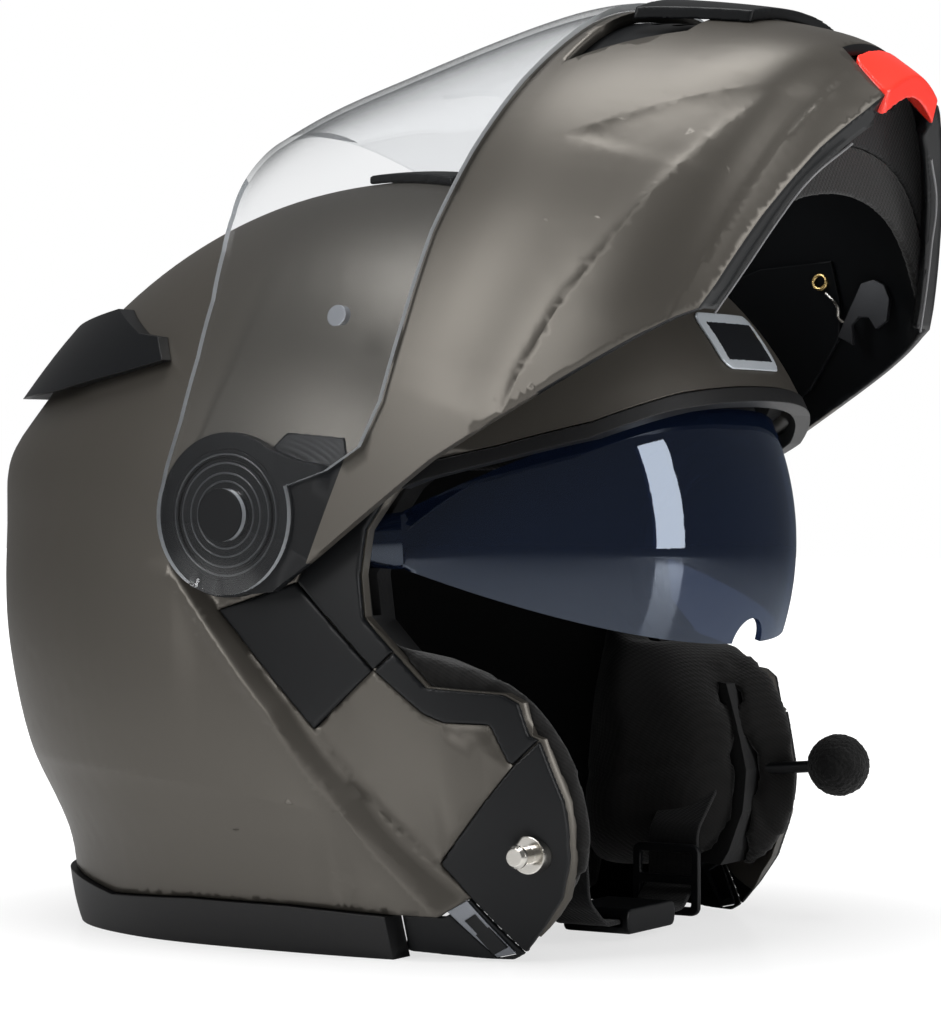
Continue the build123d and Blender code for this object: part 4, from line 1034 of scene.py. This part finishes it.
def stage_material(name, colour, whiten):
    """A pale matt surface that the camera and reflections see nearly white."""
    material, tree, shader, point = new_material(name)
    drift = add_node(tree, "ShaderNodeTexNoise", Vector=point, Scale=3.0, Detail=2.0)
    rough = add_node(tree, "ShaderNodeMath", {"operation": "MULTIPLY_ADD"},
                     i0=drift.outputs["Fac"], i1=0.04, i2=0.14)
    tree.links.new(rough.outputs[0], shader.inputs["Roughness"])
    shader.inputs["Base Color"].default_value = (*colour, 1)
    light = add_node(tree, "ShaderNodeLightPath")
    seen = add_node(tree, "ShaderNodeMath", {"operation": "MAXIMUM"},
                    i0=light.outputs["Is Camera Ray"], i1=light.outputs["Is Transmission Ray"])
    reach = add_node(tree, "ShaderNodeVectorMath", {"operation": "LENGTH"}, i0=point)
    fade = add_node(tree, "ShaderNodeMapRange", {"interpolation_type": "SMOOTHSTEP"},
                    Value=reach.outputs["Value"], From_Min=0.10, From_Max=0.42, To_Min=whiten, To_Max=1.0)
    share = add_node(tree, "ShaderNodeMath", {"operation": "MULTIPLY"},
                     i0=seen.outputs[0], i1=fade.outputs[0])
    glow = add_node(tree, "ShaderNodeEmission", Color=(1, 1, 1, 1), Strength=1.35)
    mixed = add_node(tree, "ShaderNodeMixShader", Fac=share.outputs[0])
    tree.links.new(shader.outputs[0], mixed.inputs[1])
    tree.links.new(glow.outputs[0], mixed.inputs[2])
    tree.links.new(mixed.outputs[0], tree.nodes["Material Output"].inputs["Surface"])
    return material


def area_light(name, at, aim, size, power):
    """A soft rectangular lamp at a place, turned to a point."""
    lamp = bpy.data.lights.new(name, "AREA")
    lamp.shape = "RECTANGLE"
    lamp.size, lamp.size_y = size
    lamp.energy = power
    item = new_piece(name, lamp)
    item.location = at
    item.rotation_mode = "QUATERNION"
    item.rotation_quaternion = (aim - at).to_track_quat("-Z", "Y")


class HELMET_OT_stage(bpy.types.Operator):
    """Set the floor, the lamps, the world and the camera"""
    bl_idname = "helmet.stage"
    bl_label = "Stage"

    def execute(self, context):
        scene = context.scene
        shape = bmesh.new()
        bmesh.ops.create_grid(shape, x_segments=4, y_segments=4, size=FLOOR_SIZE)
        floor = new_piece("floor", new_mesh("floor", shape))
        floor.data.materials.append(stage_material("Pale floor", (0.90, 0.90, 0.90), 0.50))

        heading = Vector(CAMERA_HEADING)
        side = Vector((heading.y, -heading.x, 0))
        middle = Vector(LIT_POINT)
        for name, (ahead, right, up), size, power in LAMPS:
            at = middle + heading * ahead + side * right + Vector((0, 0, up))
            area_light(name, at, middle, size, power)

        world = bpy.data.worlds.new("Studio")
        scene.world = world
        world.use_nodes = True
        tree = world.node_tree
        back = tree.nodes["Background"]
        back.inputs["Color"].default_value = (1, 1, 1, 1)
        light = add_node(tree, "ShaderNodeLightPath")
        direct = add_node(tree, "ShaderNodeMath", {"operation": "MAXIMUM"},
                          i0=light.outputs["Is Camera Ray"], i1=light.outputs["Is Transmission Ray"])
        mirrored = add_node(tree, "ShaderNodeMath", {"operation": "MULTIPLY"},
                            i0=light.outputs["Is Glossy Ray"], i1=0.10)
        seen = add_node(tree, "ShaderNodeMath", {"operation": "MAXIMUM"},
                        i0=direct.outputs[0], i1=mirrored.outputs[0])
        strength = add_node(tree, "ShaderNodeMath", {"operation": "MAXIMUM"}, i0=seen.outputs[0], i1=0.16)
        tree.links.new(strength.outputs[0], back.inputs["Strength"])

        lens = bpy.data.cameras.new("Camera")
        lens.lens = CAMERA_LENS
        lens.sensor_width = 36
        lens.shift_x, lens.shift_y = CAMERA_SHIFT
        camera = new_piece("Camera", lens)
        camera.location = CAMERA_PLACE
        camera.rotation_mode = "QUATERNION"
        camera.rotation_quaternion = heading.to_track_quat("-Z", "Y")
        scene.camera = camera
        scene.view_settings.view_transform = "Standard"
        return {"FINISHED"}


OPERATORS = (
    HELMET_OT_shells,
    HELMET_OT_mouldings,
    HELMET_OT_lining,
    HELMET_OT_straps,
    HELMET_OT_microphone,
    HELMET_OT_curtain,
    HELMET_OT_ratchets,
    HELMET_OT_badge,
    HELMET_OT_inlay_backs,
    HELMET_OT_seams,
    HELMET_OT_plain_nodes,
    HELMET_OT_stage,
)


class HELMET_PT_pieces(bpy.types.Panel):
    """The helmet's pieces, finishes and sizes"""
    bl_label = "Modular Helmet"
    bl_idname = "HELMET_PT_pieces"
    bl_space_type = "VIEW_3D"
    bl_region_type = "UI"
    bl_category = "Helmet"

    def draw(self, context):
        for group in (context.scene.helmet_finish, context.scene.helmet_sizes):
            for name in group.__annotations__:
                self.layout.prop(group, name)
        for operator in OPERATORS:
            self.layout.operator(operator.bl_idname)


CLASSES = (HelmetFinish, HelmetSizes, *OPERATORS, HELMET_PT_pieces)


def register():
    for item in CLASSES:
        bpy.utils.register_class(item)
    bpy.types.Scene.helmet_finish = bpy.props.PointerProperty(type=HelmetFinish)
    bpy.types.Scene.helmet_sizes = bpy.props.PointerProperty(type=HelmetSizes)


def unregister():
    del bpy.types.Scene.helmet_sizes
    del bpy.types.Scene.helmet_finish
    for item in reversed(CLASSES):
        bpy.utils.unregister_class(item)


def main():
    register()
    MATERIALS.update(make_materials())
    for operator in OPERATORS:
        group, name = operator.bl_idname.split(".")
        getattr(getattr(bpy.ops, group), name)()


if __name__ == "__main__":
    main()
